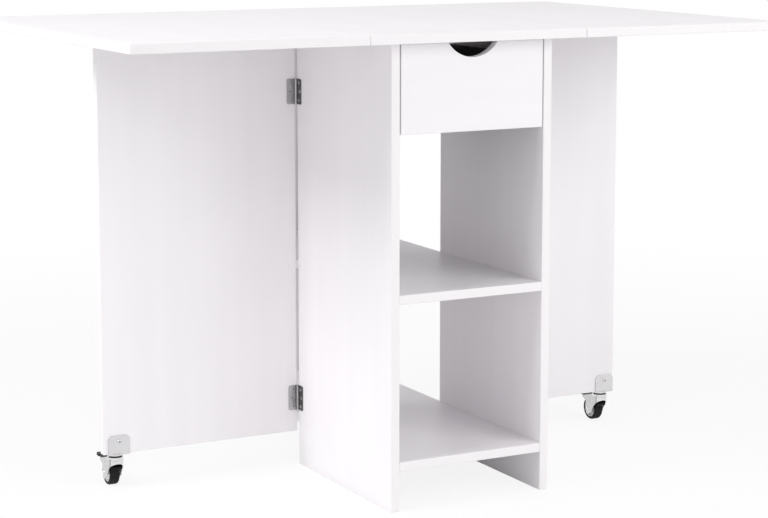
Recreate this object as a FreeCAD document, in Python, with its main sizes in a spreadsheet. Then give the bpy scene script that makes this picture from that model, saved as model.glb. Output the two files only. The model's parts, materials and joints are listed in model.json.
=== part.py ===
"""Drop-leaf kitchen table with a storage cabinet, a drawer and two hinged leg panels on casters.

Millimetres, +Z up. The origin is on the floor under the middle of the table top. X runs along the
table's length, the drawer opens towards -Y, and both leg panels stand swung out under the raised leaves.
"""

import FreeCAD, Part
import os
import re

from FreeCAD import Placement, Rotation, Vector
from Sketcher import Constraint

SIZES = {
    # Table top: a fixed board between two leaves.
    "top_length": 1170,
    "top_width": 750,
    "table_height": 760,
    "board": 15,
    "center_length": 390,
    "seam_gap": 0.5,
    "edge_round": 1,
    "overcut": 1,
    # Cabinet: side panels in the front half, a back panel with a foot, two full-depth shelves.
    "side_overhang": 49,
    "panel_depth": 336,
    "front_overhang": 26,
    "lower_shelf_height": 80,
    "middle_shelf_height": 349,
    "back_clearance": 1,
    "notch_clearance": 2.5,
    "notch_height": 62,
    # Leg panels, which swing out and carry the leaves.
    "leg_width": 353,
    "leg_bottom": 58,
    "panel_gap": 0.6,
    "hinge_pass": 0.7,
    "glide_radius": 6,
    "glide_inset": 30,
    "leaf_clearance": 0.3,
    # Butt hinges, used on the legs and under the leaves.
    "hinge_height": 43,
    "hinge_width": 16.5,
    "hinge_plate": 1,
    "hinge_corner": 3,
    "knuckle_radius": 2.2,
    "knuckle_clearance": 0.3,
    "knuckle_gap": 0.2,
    "hinge_pin_radius": 1.1,
    "hinge_pin_tip": 1.2,
    "pin_clearance": 0.05,
    "near_hole": 7.6,
    "far_hole": 11.3,
    "hole_inset": 7,
    "upper_hinge": 644,
    "lower_hinge": 117,
    "leaf_hinge_spread": 500,
    # Screws, cam fittings and dowels.
    "screw_radius": 1.5,
    "screw_head": 2.9,
    "screw_length": 11,
    "long_screw_length": 30,
    "bore_clearance": 0.05,
    "cam_radius": 7.5,
    "cam_height": 12.5,
    "cam_clearance": 0.1,
    "cam_slot": 1.5,
    "cam_setback": 34,
    "bolt_radius": 3,
    "bolt_tip": 1,
    "bolt_engagement": 11,
    "cam_front": 45,
    "cam_rear": 285,
    "cam_side": 60,
    "dowel_radius": 3,
    "dowel_length": 24,
    "dowel_inset": 25,
    # Drawer and its runners.
    "drawer_gap": 2,
    "drawer_front_height": 141,
    "notch_radius": 54,
    "notch_depth": 24,
    "drawer_side": 12,
    "drawer_length": 285,
    "drawer_side_height": 105,
    "drawer_side_lift": 10,
    "drawer_bottom": 3,
    "bottom_lift": 8,
    "groove_depth": 5,
    "groove_clearance": 0.2,
    "runner_thickness": 6,
    "runner_height": 16,
    "runner_length": 300,
    "runner_lift": 48,
    "runner_setback": 24,
    "runner_clearance": 0.3,
    "runner_stop": 1,
    # Caster bracket on the leg panel, of the same hand on both legs.
    "bracket_width": 38,
    "bracket_height": 31,
    "bracket_plate": 2,
    "bracket_corner": 8,
    "strip_width": 8,
    "strip_plate": 1.2,
    "flange_radius": 13.2,
    "collar_radius": 12,
    "collar_drop": 1.2,
    "bracket_hole_drop": 10.5,
    "bracket_screw_radius": 2,
    "bracket_screw_head": 4,
    "bracket_head_height": 2.2,
    # Caster: kingpin, dust ring, fork, wheel and brake pedal.
    "kingpin_inset": 23,
    "kingpin_radius": 4,
    "kingpin_head": 6,
    "kingpin_head_height": 2,
    "running_clearance": 0.05,
    "race_gap": 0.3,
    "ring_radius": 11.2,
    "ring_height": 2,
    "fork_plate": 1.5,
    "fork_width": 26,
    "fork_ear": 38,
    "ear_end": 3,
    "ear_drop": 6.5,
    "ear_root": 6,
    "ear_depth": 14,
    "ear_gap": 9,
    "fork_roof": 13,
    "head_radius": 13.7,
    "head_height": 3.2,
    "skirt_height": 8.5,
    "arch_radius": 49,
    "arch_forward": 59.7,
    "arch_drop": 21.1,
    "fork_tip": 3,
    "tip_drop": 10.5,
    "tip_round": 2.5,
    "wheel_radius": 21,
    "wheel_width": 17,
    "wheel_trail": 21,
    "tread_depth": 5,
    "tread_round": 3.5,
    "hub_inset": 1,
    "hub_rim": 1.8,
    "hub_web": 6,
    "hub_boss": 5.5,
    "hub_gap": 0.4,
    "axle_radius": 3,
    "axle_head": 4,
    "axle_head_height": 1.2,
    "pedal_clearance": 1.5,
    "pedal_plate": 2.2,
    "pedal_side_gap": 0.5,
    "pedal_boss": 2.6,
    "boss_clearance": 0.7,
    "pedal_pivot_angle": 40,
    "pedal_nose_angle": 64,
    "pedal_nose_round": 3,
    "pedal_lip": 3.4,
    "brake_pin_radius": 1.5,
    "pedal_rise": 1,
    "pedal_start": 30,
    "pedal_reach": 60,
    "pedal_width": 24,
    "foot_gap": 1,
    "foot_plate": 4,
    "foot_corner": 5,
}

doc = FreeCAD.newDocument("drop_leaf_table")
sheet = doc.addObject("Spreadsheet::Sheet", "Sizes")
for row, (alias, number) in enumerate(SIZES.items(), 1):
    sheet.set(f"A{row}", alias)
    sheet.set(f"B{row}", str(number))
    sheet.setAlias(f"B{row}", alias)
doc.recompute()

ALIASES = re.compile(r"\b(" + "|".join(SIZES) + r")\b")

# Places that several pieces share, as expressions of the sizes.
UNDERSIDE = "(table_height - board)"
OUTER = "(center_length / 2 - side_overhang)"
INNER = f"({OUTER} - board)"
FRONT = "(front_overhang - top_width / 2)"
PANEL_REAR = f"({FRONT} + panel_depth)"
SEAM = "((center_length + seam_gap) / 2)"
LEAF_LENGTH = "((top_length - center_length) / 2 - seam_gap)"
PIN_X = f"({OUTER} + knuckle_radius)"
PIN_Y = f"({PANEL_REAR} + panel_gap / 2)"
LEG_FRONT = f"({PIN_Y} + knuckle_radius)"
LEG_START = f"({PIN_X} + panel_gap / 2)"
LEG_TOP = f"({UNDERSIDE} - 2 * knuckle_radius - hinge_pass)"
CABINET_REAR = f"({PIN_Y} + panel_gap / 2 + leg_width)"
SHELF_WIDTH = f"(2 * {INNER})"
SHELF_DEPTH = f"({CABINET_REAR} - board - {FRONT})"
KINGPIN_X = f"({LEG_START} + leg_width - kingpin_inset)"
KINGPIN_Y = f"({LEG_FRONT} + board / 2)"

# How far a cut reaches that goes right through a small piece.
THROUGH = "top_length"

# Turns that lay a piece's own Z axis along another direction.
AS_MADE = Rotation()
TO_FLOOR = Rotation(Vector(1, 0, 0), 180)
TO_BACK = Rotation(Vector(1, 0, 0), -90)
TO_FRONT = Rotation(Vector(1, 0, 0), 90)
TO_RIGHT = Rotation(Vector(0, 1, 0), 90)
TO_LEFT = Rotation(Vector(0, 1, 0), -90)


def bind(thing, prop, expression):
    """Ties a property to an expression, in which each size is written by its plain name."""
    thing.setExpression(prop, ALIASES.sub(r"Sizes.\1", expression))


def place(thing, x, y, z, turn=AS_MADE):
    """Turns a thing and ties its position to the sizes."""
    thing.Placement = Placement(Vector(), turn)
    for axis, expression in zip("xyz", (x, y, z)):
        bind(thing, f"Placement.Base.{axis}", expression)
    return thing


def axes(x_axis, z_axis):
    """The rotation that lays a piece's own X and Z axes along these directions."""
    return Rotation(Vector(*x_axis), Vector(), Vector(*z_axis), "ZXY")


# Sketches and features inside one body.


def new_body(label):
    body = doc.addObject("PartDesign::Body", label)
    body.Label = label
    return body


def new_sketch(body, plane, offset="0"):
    """A sketch on one of the body's own origin planes, moved along the plane's normal."""
    sketch = body.newObject("Sketcher::SketchObject", f"{body.Name}_sketch")
    support = [item for item in body.Origin.OriginFeatures if item.Role == plane][0]
    sketch.AttachmentSupport = (support, [""])
    sketch.MapMode = "FlatFace"
    bind(sketch, "AttachmentOffset.Base.z", offset)
    return sketch


def value(expression):
    """The number that an expression of the sizes gives now."""
    return float(sheet.evalExpression(ALIASES.sub(r"Sizes.\1", expression)))


def pin_point(sketch, curve, end, x, y):
    """Ties a point of a curve to a place measured from the sketch's origin."""
    for kind, distance in (("DistanceX", x), ("DistanceY", y)):
        index = sketch.addConstraint(Constraint(kind, -1, 1, curve, end, value(distance)))
        bind(sketch, f"Constraints[{index}]", distance)


def draw_outline(sketch, points):
    """A closed outline of straight edges through the points."""
    count = len(points)
    first = sketch.GeometryCount
    corners = [Vector(value(x), value(y), 0) for x, y in points]
    for i in range(count):
        edge = Part.LineSegment(corners[i], corners[(i + 1) % count])
        sketch.addGeometry(edge, False)
    for i in range(count):
        after = first + (i + 1) % count
        sketch.addConstraint(Constraint("Coincident", first + i, 2, after, 1))
    for i, (x, y) in enumerate(points):
        pin_point(sketch, first + i, 1, x, y)


def draw_rectangle(sketch, x, y, width, height):
    """A rectangle whose lower left corner is at x, y."""
    right = f"{x} + {width}"
    top = f"{y} + {height}"
    draw_outline(sketch, [(x, y), (right, y), (right, top), (x, top)])


def draw_circle(sketch, x, y, radius):
    middle = Vector(value(x), value(y), 0)
    circle = sketch.addGeometry(Part.Circle(middle, Vector(0, 0, 1), value(radius)), False)
    pin_point(sketch, circle, 3, x, y)
    index = sketch.addConstraint(Constraint("Radius", circle, value(radius)))
    bind(sketch, f"Constraints[{index}]", radius)


def add_feature(body, kind, sketch, length, reverse=False, midplane=False):
    feature = body.newObject(f"PartDesign::{kind}", f"{body.Name}_{kind}")
    feature.Profile = sketch
    feature.Reversed = reverse
    if midplane:
        feature.SideType = "Symmetric"
    bind(feature, "Length", length)
    return feature


def round_edges(body, feature, edges, radius):
    fillet = body.newObject("PartDesign::Fillet", f"{body.Name}_rounding")
    fillet.Base = (feature, edges)
    bind(fillet, "Radius", radius)
    return fillet


def turned(label, profile):
    """A body turned round its own Z axis from half-section points, each a radius and a height."""
    body = new_body(label)
    sketch = new_sketch(body, "XZ_Plane")
    draw_outline(sketch, profile)
    turning = body.newObject("PartDesign::Revolution", f"{label}_turning")
    turning.Profile = sketch
    turning.ReferenceAxis = (sketch, ["V_Axis"])
    turning.Angle = 360
    return body


def board(label, size, corner):
    """A flat board with eased edges, from its corner nearest -X, -Y and the floor."""
    body = new_body(label)
    sketch = new_sketch(body, "XY_Plane")
    draw_rectangle(sketch, "0", "0", size[0], size[1])
    pad = add_feature(body, "Pad", sketch, size[2])
    round_edges(body, pad, [f"Edge{i}" for i in range(1, 13)], "edge_round")
    return place(body, *corner)


def cut_face(body, size, face, draw, depth):
    """Cuts what draw() sketches into one face of a board. Side faces use (y, z) or (x, z)."""
    planes = {
        "bottom": ("XY_Plane", "0", True),
        "top": ("XY_Plane", size[2], False),
        "left": ("YZ_Plane", "0", True),
        "right": ("YZ_Plane", size[0], False),
        "front": ("XZ_Plane", "0", False),
        "back": ("XZ_Plane", f"-({size[1]})", True),
    }
    plane, offset, reverse = planes[face]
    sketch = new_sketch(body, plane, offset)
    draw(sketch)
    return add_feature(body, "Pocket", sketch, depth, reverse)


def bore_face(body, size, face, centres, radius, depth):
    """Bores equal round holes into one face of a board."""

    def draw(sketch):
        for x, y in centres:
            draw_circle(sketch, x, y, radius)

    return cut_face(body, size, face, draw, depth)


# Copies and mirror images of finished shapes.


def copies(label, sources):
    """One node of placed copies, each given as a shape, its x, y and z, and its rotation."""
    links = []
    for number, (source, x, y, z, turn) in enumerate(sources, 1):
        link = doc.addObject("App::Link", f"{label}_{number}")
        link.LinkedObject = source
        links.append(place(link, x, y, z, turn))
    group = doc.addObject("Part::Compound", label)
    group.Label = label
    group.Links = links
    return group


def mirrored(label, source):
    """The left-hand twin of a right-hand piece."""
    twin = doc.addObject("Part::Mirroring", label)
    twin.Label = label
    twin.Source = source
    twin.Normal = Vector(1, 0, 0)
    return twin


# Fasteners, each with its seat at its own origin.


def wood_screw(label, length):
    """A countersunk screw: the head's face is at the origin and the shank points along -Z."""
    return turned(
        label,
        [
            ("0", "0"),
            ("screw_head", "0"),
            ("screw_radius", "-hinge_plate"),
            ("screw_radius", f"-{length}"),
            ("0", f"-{length}"),
        ],
    )


def pan_screw(label):
    """A pan-head screw: the underside of the head is at the origin."""
    return turned(
        label,
        [
            ("0", "bracket_head_height"),
            ("bracket_screw_head - edge_round", "bracket_head_height"),
            ("bracket_screw_head", "bracket_head_height / 2"),
            ("bracket_screw_head", "0"),
            ("bracket_screw_radius", "0"),
            ("bracket_screw_radius", "-screw_length"),
            ("0", "-screw_length"),
        ],
    )


def cam_lock():
    """A cam disc, its face at the origin and its body along +Z, open towards +X for the bolt."""
    body = new_body("cam_shape")
    disc = new_sketch(body, "XY_Plane")
    draw_circle(disc, "0", "0", "cam_radius")
    add_feature(body, "Pad", disc, "cam_height")
    mouth = new_sketch(body, "YZ_Plane")
    draw_circle(mouth, "0", "board / 2", "bolt_radius + bore_clearance")
    add_feature(body, "Pocket", mouth, "cam_radius", True)
    slot = new_sketch(body, "XY_Plane")
    draw_rectangle(slot, "-cam_radius / 2", "-cam_slot / 2", "cam_radius", "cam_slot")
    add_feature(body, "Pocket", slot, "cam_slot", True)
    return body


def plain_pin(label, radius, length):
    """A round pin along +Z."""
    pin = doc.addObject("Part::Cylinder", label)
    bind(pin, "Radius", radius)
    bind(pin, "Height", length)
    return pin


screw = wood_screw("screw_shape", "screw_length")
long_screw = wood_screw("long_screw_shape", "long_screw_length")
bracket_screw = pan_screw("bracket_screw_shape")
cam = cam_lock()
cam_bolt = plain_pin("cam_bolt_shape", "bolt_radius", "cam_setback + bolt_engagement - bolt_tip")
dowel = plain_pin("dowel_shape", "dowel_radius", "dowel_length")
SCREW_BORE = "screw_radius + bore_clearance"
BOLT_BORE = "bolt_radius + bore_clearance"
CAM_BORE = "cam_radius + cam_clearance"
CAM_POCKET = "cam_height + cam_clearance"

# Hinge plates. The pin runs along Z through the origin, the plate reaches along +X and its seat
# is at Y = knuckle_radius. One plate has the three outer knuckles, its mate the two between them.
KNUCKLE = "(hinge_height / 5)"
HOLE_PLACES = [("near_hole", -1), ("far_hole", 0), ("near_hole", 1)]


def hole_height(row):
    return f"({row} * (hinge_height / 2 - hole_inset))"


def pick_edges(feature, test):
    """The names of the edges whose box, next to the whole feature's box, passes a test."""
    doc.recompute()
    whole = feature.Shape.BoundBox
    return [f"Edge{i}" for i, e in enumerate(feature.Shape.Edges, 1) if test(e.BoundBox, whole)]


def countersink(body, x, y, z, turn):
    """Sinks a screw head into a face of the body. The turn lays Z along the screw's way in."""
    sink = body.newObject("PartDesign::SubtractiveCone", f"{body.Name}_countersink")
    bind(sink, "Radius1", "screw_head + bore_clearance")
    bind(sink, "Radius2", "screw_radius + bore_clearance")
    bind(sink, "Height", "hinge_plate")
    place(sink, x, y, z, turn)


def hinge_leaf(label, gaps):
    """A hinge plate. The gaps number the knuckles that it leaves to its mate."""
    body = new_body(label)
    outline = new_sketch(body, "XZ_Plane", "-knuckle_radius")
    draw_rectangle(outline, "0", "-hinge_height / 2", "hinge_width", "hinge_height")
    plate = add_feature(body, "Pad", outline, "hinge_plate")
    corners = pick_edges(plate, lambda e, whole: e.YLength > e.ZLength and e.XMin > whole.Center.x)
    round_edges(body, plate, corners, "hinge_corner")
    barrel = new_sketch(body, "XY_Plane", "-hinge_height / 2")
    draw_circle(barrel, "0", "0", "knuckle_radius")
    add_feature(body, "Pad", barrel, "hinge_height")
    for number in gaps:
        start = f"-hinge_height / 2 + {number} * {KNUCKLE} - knuckle_gap / 2"
        gap = new_sketch(body, "XY_Plane", start)
        draw_circle(gap, "0", "0", "knuckle_radius + knuckle_clearance")
        add_feature(body, "Pocket", gap, f"{KNUCKLE} + knuckle_gap", True)
    bore = new_sketch(body, "XY_Plane", "-hinge_height / 2")
    draw_circle(bore, "0", "0", "hinge_pin_radius + pin_clearance")
    add_feature(body, "Pocket", bore, "hinge_height", True)
    for column, row in HOLE_PLACES:
        countersink(body, column, "knuckle_radius - hinge_plate", hole_height(row), TO_BACK)
    return body


three_knuckles = hinge_leaf("three_knuckle_shape", [1, 3])
two_knuckles = hinge_leaf("two_knuckle_shape", [0, 2, 4])
hinge_pin = turned(
    "hinge_pin_shape",
    [
        ("0", "-hinge_height / 2 - hinge_pin_tip"),
        ("hinge_pin_radius", "-hinge_height / 2 - hinge_pin_tip"),
        ("hinge_pin_radius", "hinge_height / 2 + hinge_pin_tip"),
        ("0", "hinge_height / 2 + hinge_pin_tip"),
    ],
)

# Table top: the fixed board and the two leaves.
HINGE_ROWS = [f"{side} * leaf_hinge_spread / 2" for side in (-1, 1)]
LEAF_SCREWS = [
    (column, f"{middle} + {hole_height(row)}") for middle in HINGE_ROWS for column, row in HOLE_PLACES
]
CAM_ROWS = ["cam_front", "cam_rear"]
CAM_COLUMNS = [f"({side} * ({SHELF_WIDTH} / 2 - cam_side))" for side in (-1, 1)]
BACK_MIDDLE = f"({CABINET_REAR} - board / 2)"
PANEL_MIDDLE = f"({OUTER} - board / 2)"
TOP_BOLTS = [(f"{s} * {PANEL_MIDDLE}", f"({FRONT} + {y})") for s in (-1, 1) for y in CAM_ROWS]
TOP_BOLTS += [(x, BACK_MIDDLE) for x in CAM_COLUMNS]

center_size = ("center_length", "top_width", "board")
center_top = board("center_top", center_size, ("-center_length / 2", "-top_width / 2", UNDERSIDE))
bolt_holes = [(f"center_length / 2 + {x}", f"top_width / 2 + {y}") for x, y in TOP_BOLTS]
bore_face(center_top, center_size, "bottom", bolt_holes, BOLT_BORE, "bolt_engagement")
screw_holes = [
    (f"center_length / 2 + {side} * ({SEAM} - {x})", f"top_width / 2 + {y}")
    for side in (-1, 1)
    for x, y in LEAF_SCREWS
]
bore_face(center_top, center_size, "bottom", screw_holes, SCREW_BORE, "screw_length")

leaf_size = (LEAF_LENGTH, "top_width", "board")
leaf_corner = ("center_length / 2 + seam_gap", "-top_width / 2", UNDERSIDE)
right_leaf = board("right_leaf", leaf_size, leaf_corner)
leaf_holes = [(f"{x} - seam_gap / 2", f"top_width / 2 + {y}") for x, y in LEAF_SCREWS]
bore_face(right_leaf, leaf_size, "bottom", leaf_holes, SCREW_BORE, "screw_length")
mirrored("left_leaf", right_leaf)

# Fixed side panels. The outer face carries the leg hinges, the inner one shelves and runners.
DRAWER_HALF = f"({SHELF_WIDTH} / 2 - drawer_gap)"
FRONT_BOTTOM = f"({UNDERSIDE} - drawer_gap - drawer_front_height)"
RUNNER_Z = f"({FRONT_BOTTOM} + runner_lift)"
RUNNER_SCREWS = ["dowel_inset", "runner_length / 2", "runner_length - dowel_inset"]
HINGE_HEIGHTS = ["upper_hinge", "lower_hinge"]
SHELF_HEIGHTS = ["lower_shelf_height", "middle_shelf_height"]
HINGE_SCREWS = [(x, f"({z} + {hole_height(row)})") for z in HINGE_HEIGHTS for x, row in HOLE_PLACES]

panel_size = ("board", "panel_depth", UNDERSIDE)
right_side_panel = board("right_side_panel", panel_size, (INNER, FRONT, "0"))
hinge_holes = [(f"panel_depth + panel_gap / 2 - {x}", z) for x, z in HINGE_SCREWS]
bore_face(right_side_panel, panel_size, "right", hinge_holes, SCREW_BORE, "screw_length")
shelf_holes = [(y, f"{z} - board / 2") for y in CAM_ROWS for z in SHELF_HEIGHTS]
bore_face(right_side_panel, panel_size, "left", shelf_holes, BOLT_BORE, "bolt_engagement")
runner_holes = [(f"runner_setback + {y}", f"{RUNNER_Z} + runner_height / 2") for y in RUNNER_SCREWS]
runner_hole_depth = "screw_length - runner_thickness"
bore_face(right_side_panel, panel_size, "left", runner_holes, SCREW_BORE, runner_hole_depth)
cam_holes = [(y, f"{UNDERSIDE} - cam_setback") for y in CAM_ROWS]
bore_face(right_side_panel, panel_size, "left", cam_holes, CAM_BORE, CAM_POCKET)
top_holes = [("board / 2", y) for y in CAM_ROWS]
bore_face(right_side_panel, panel_size, "top", top_holes, BOLT_BORE, "cam_setback")
mirrored("left_side_panel", right_side_panel)

# Back panel. Its foot stands between the casters of the folded legs, which swivel in its notches.
BACK_HALF = f"({SHELF_WIDTH} / 2 - back_clearance)"
FOLDED_X = f"({PIN_X} - {KINGPIN_Y} + {PIN_Y})"
NOTCH_WIDTH = f"({BACK_HALF} - {FOLDED_X} + pedal_reach + notch_clearance)"
back_size = (f"(2 * {BACK_HALF})", "board", UNDERSIDE)
back_panel = board("back_panel", back_size, (f"-{BACK_HALF}", f"{CABINET_REAR} - board", "0"))


def draw_notches(sketch):
    for x in ("-overcut", f"2 * {BACK_HALF} - {NOTCH_WIDTH}"):
        draw_rectangle(sketch, x, "-overcut", f"{NOTCH_WIDTH} + overcut", "notch_height + overcut")


cut_face(back_panel, back_size, "front", draw_notches, "board")
shelf_holes = [
    (f"{BACK_HALF} + {x}", f"{z} - board / 2") for x in CAM_COLUMNS for z in SHELF_HEIGHTS
]
bore_face(back_panel, back_size, "front", shelf_holes, BOLT_BORE, "bolt_engagement")
cam_holes = [(f"{BACK_HALF} + {x}", f"{UNDERSIDE} - cam_setback") for x in CAM_COLUMNS]
bore_face(back_panel, back_size, "front", cam_holes, CAM_BORE, CAM_POCKET)
top_holes = [(f"{BACK_HALF} + {x}", "board / 2") for x in CAM_COLUMNS]
bore_face(back_panel, back_size, "top", top_holes, BOLT_BORE, "cam_setback")

# Shelves, narrower behind the side panels so that the leg panels fold in beside them.
SHELF_CAMS = [
    (f"{side} * ({SHELF_WIDTH} / 2 - cam_setback)", y, (side, 0, 0)) for side in (-1, 1) for y in CAM_ROWS
]
SHELF_CAMS += [(x, f"({SHELF_DEPTH} - cam_setback)", (0, 1, 0)) for x in CAM_COLUMNS]
shelf_size = (SHELF_WIDTH, SHELF_DEPTH, "board")


def draw_reliefs(sketch):
    length = f"{SHELF_DEPTH} - panel_depth + overcut"
    for x in ("-overcut", f"{SHELF_WIDTH} - back_clearance"):
        draw_rectangle(sketch, x, "panel_depth", "back_clearance + overcut", length)


def shelf(label, height):
    body = board(label, shelf_size, (f"-{SHELF_WIDTH} / 2", FRONT, f"{height} - board"))
    cut_face(body, shelf_size, "top", draw_reliefs, "board")
    cams = [(f"{SHELF_WIDTH} / 2 + {x}", y) for x, y, _ in SHELF_CAMS]
    bore_face(body, shelf_size, "bottom", cams, CAM_BORE, CAM_POCKET)
    for face in ("left", "right"):
        holes = [(y, "board / 2") for y in CAM_ROWS]
        bore_face(body, shelf_size, face, holes, BOLT_BORE, "cam_setback")
    holes = [(f"{SHELF_WIDTH} / 2 + {x}", "board / 2") for x in CAM_COLUMNS]
    bore_face(body, shelf_size, "back", holes, BOLT_BORE, "cam_setback")
    return body


shelf("lower_shelf", "lower_shelf_height")
shelf("middle_shelf", "middle_shelf_height")

# Cam fittings. A cam's face lies flush in its board and its bolt runs on into the next board.
cam_places = []
for height in SHELF_HEIGHTS:
    for x, y, reach in SHELF_CAMS:
        cam_places.append((x, f"{FRONT} + {y}", f"{height} - board", axes(reach, (0, 0, 1))))
for side in (-1, 1):
    for y in CAM_ROWS:
        turn = axes((0, 0, 1), (side, 0, 0))
        cam_places.append((f"{side} * {INNER}", f"{FRONT} + {y}", f"{UNDERSIDE} - cam_setback", turn))
for x in CAM_COLUMNS:
    turn = axes((0, 0, 1), (0, 1, 0))
    cam_places.append((x, f"{CABINET_REAR} - board", f"{UNDERSIDE} - cam_setback", turn))


def bolt_place(x, y, z, turn):
    """Where a cam's bolt lies: half a board behind the cam's face, along the cam's mouth."""
    inward = turn.multVec(Vector(0, 0, 1))
    reach = turn.multVec(Vector(1, 0, 0))
    middle = [f"{p} + {round(d)} * board / 2" for p, d in zip((x, y, z), inward)]
    start = [f"{p} + {round(d)} * bolt_tip" for p, d in zip(middle, reach)]
    return (*start, axes(tuple(inward), tuple(reach)))


copies("cam_locks", [(cam, *spot) for spot in cam_places])
copies("cam_bolts", [(cam_bolt, *bolt_place(*spot)) for spot in cam_places])

# Leaf hinges, screwed to the underside across each seam.
AXIS_Z = f"{UNDERSIDE} - knuckle_radius"
to_right_leaf = axes((1, 0, 0), (0, -1, 0))
to_left_leaf = axes((-1, 0, 0), (0, 1, 0))
outer_places = [
    (two_knuckles, f"{side} * {SEAM}", y, AXIS_Z, turn)
    for side, turn in ((1, to_right_leaf), (-1, to_left_leaf))
    for y in HINGE_ROWS
]
inner_places = [
    (three_knuckles, f"{side} * {SEAM}", y, AXIS_Z, turn)
    for side, turn in ((1, to_left_leaf), (-1, to_right_leaf))
    for y in HINGE_ROWS
]
copies("leaf_hinge_outer_plates", outer_places)
copies("leaf_hinge_inner_plates", inner_places)
copies("leaf_hinge_pins", [(hinge_pin, *spot[1:]) for spot in outer_places])
leaf_screws = [
    (screw, f"{side} * ({SEAM} + {end} * {x})", y, f"{UNDERSIDE} - hinge_plate", TO_FLOOR)
    for side in (-1, 1)
    for end in (-1, 1)
    for x, y in LEAF_SCREWS
]
copies("leaf_hinge_screws", leaf_screws)

# Leg hinges: one plate on the side panel's outer face, its mate on the leg panel's front.
to_leg = AS_MADE
to_panel = axes((0, -1, 0), (0, 0, -1))
right_hinge_panel_plates = copies(
    "right_hinge_panel_plates", [(three_knuckles, PIN_X, PIN_Y, z, to_panel) for z in HINGE_HEIGHTS]
)
mirrored("left_hinge_panel_plates", right_hinge_panel_plates)
right_hinge_leg_plates = copies(
    "right_hinge_leg_plates", [(two_knuckles, PIN_X, PIN_Y, z, to_leg) for z in HINGE_HEIGHTS]
)
mirrored("left_hinge_leg_plates", right_hinge_leg_plates)
right_hinge_pins = copies(
    "right_hinge_pins", [(hinge_pin, PIN_X, PIN_Y, z, AS_MADE) for z in HINGE_HEIGHTS]
)
mirrored("left_hinge_pins", right_hinge_pins)
panel_screws = [
    (screw, f"{side} * ({OUTER} + hinge_plate)", f"{PIN_Y} - {x}", z, turn)
    for side, turn in ((1, TO_RIGHT), (-1, TO_LEFT))
    for x, z in HINGE_SCREWS
]
copies("panel_hinge_screws", panel_screws)
right_leg_screws = copies(
    "right_leg_hinge_screws",
    [(screw, f"{PIN_X} + {x}", f"{LEG_FRONT} - hinge_plate", z, TO_FRONT) for x, z in HINGE_SCREWS],
)
mirrored("left_leg_hinge_screws", right_leg_screws)

# Leg panels, with the glide on top that a raised leaf rests on.
leg_size = ("leg_width", "board", f"({LEG_TOP} - leg_bottom)")
leg_holes = [(f"{x} - panel_gap / 2", f"{z} - leg_bottom") for x, z in HINGE_SCREWS]
BRACKET_BORE = "bracket_screw_radius + bore_clearance"
BRACKET_MIDDLE = "(kingpin_inset - bracket_width / 2)"
BRACKET_HOLE_Z = "(leg_bottom + bracket_height - bracket_hole_drop)"


def leg_panel(label, side):
    """A right leg panel. The bracket's screw stands off the kingpin, outwards where side is 1."""
    body = board(label, leg_size, (LEG_START, LEG_FRONT, "leg_bottom"))
    bore_face(body, leg_size, "front", leg_holes, SCREW_BORE, "screw_length")
    kingpin_hole = [("leg_width - kingpin_inset", "board / 2")]
    head_bore = "kingpin_head + cam_clearance"
    bore_face(body, leg_size, "bottom", kingpin_hole, head_bore, "kingpin_head_height + cam_clearance")
    hole_x = f"leg_width - kingpin_inset + {side} * {BRACKET_MIDDLE}"
    bracket_hole = [(hole_x, f"{BRACKET_HOLE_Z} - leg_bottom")]
    bore_face(body, leg_size, "front", bracket_hole, BRACKET_BORE, "screw_length")
    glide_hole = [("leg_width - glide_inset", "board / 2")]
    bore_face(body, leg_size, "top", glide_hole, SCREW_BORE, "screw_length")
    return body


leg_panel("right_leg_panel", 1)
mirrored("left_leg_panel", leg_panel("left_leg_shape", -1))

glide_top = "2 * knuckle_radius + hinge_pass - leaf_clearance"
glide_shape = turned(
    "glide_shape",
    [
        ("0", glide_top),
        ("glide_radius - edge_round", glide_top),
        ("glide_radius", f"{glide_top} - edge_round"),
        ("glide_radius", "0"),
        ("screw_radius", "0"),
        ("screw_radius", "-screw_length"),
        ("0", "-screw_length"),
    ],
)
glide_place = (f"{LEG_START} + leg_width - glide_inset", KINGPIN_Y, LEG_TOP, AS_MADE)
right_glide = copies("right_leg_glide", [(glide_shape, *glide_place)])
mirrored("left_leg_glide", right_glide)

# Caster pieces, each made round the swivel axis, which stands on the floor at the piece's origin.
# The wheel trails towards +Y.
FLANGE_TOP = "leg_bottom"
FLANGE_BOTTOM = "(leg_bottom - bracket_plate)"
RING_TOP = f"({FLANGE_BOTTOM} - collar_drop)"
HEAD_TOP = f"({RING_TOP} - ring_height - race_gap)"
FORK_TOP = f"({HEAD_TOP} - head_height)"
FORK_UNDER = f"({FORK_TOP} - fork_plate)"
KINGPIN_FOOT = f"({FORK_UNDER} - race_gap - kingpin_head_height)"
KINGPIN_BORE = "kingpin_radius + running_clearance"
AXLE_BORE = "axle_radius + running_clearance"
BRAKE_PIN_BORE = "brake_pin_radius + running_clearance"
CHEEK_OUTSIDE = "(fork_width / 2)"
CHEEK_INSIDE = "(fork_width / 2 - fork_plate)"
TREAD_INSIDE = "(wheel_radius - tread_depth)"
ARC_INNER = "(wheel_radius + pedal_clearance)"
ARC_OUTER = f"({ARC_INNER} + pedal_plate)"
PIVOT_RADIUS = "(wheel_radius + boss_clearance + pedal_boss)"
PIVOT_Y = f"(wheel_trail - {PIVOT_RADIUS} * sin(pedal_pivot_angle))"
PIVOT_Z = f"(wheel_radius + {PIVOT_RADIUS} * cos(pedal_pivot_angle))"
LIP_Y = f"(wheel_trail - ({ARC_INNER} + pedal_lip) * sin(pedal_nose_angle))"
LIP_Z = f"(wheel_radius + ({ARC_INNER} + pedal_lip) * cos(pedal_nose_angle))"


def box(label, x, y, z, width, depth, height):
    block = doc.addObject("Part::Box", label)
    for prop, expression in zip(("Length", "Width", "Height"), (width, depth, height)):
        bind(block, prop, expression)
    return place(block, x, y, z)


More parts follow.
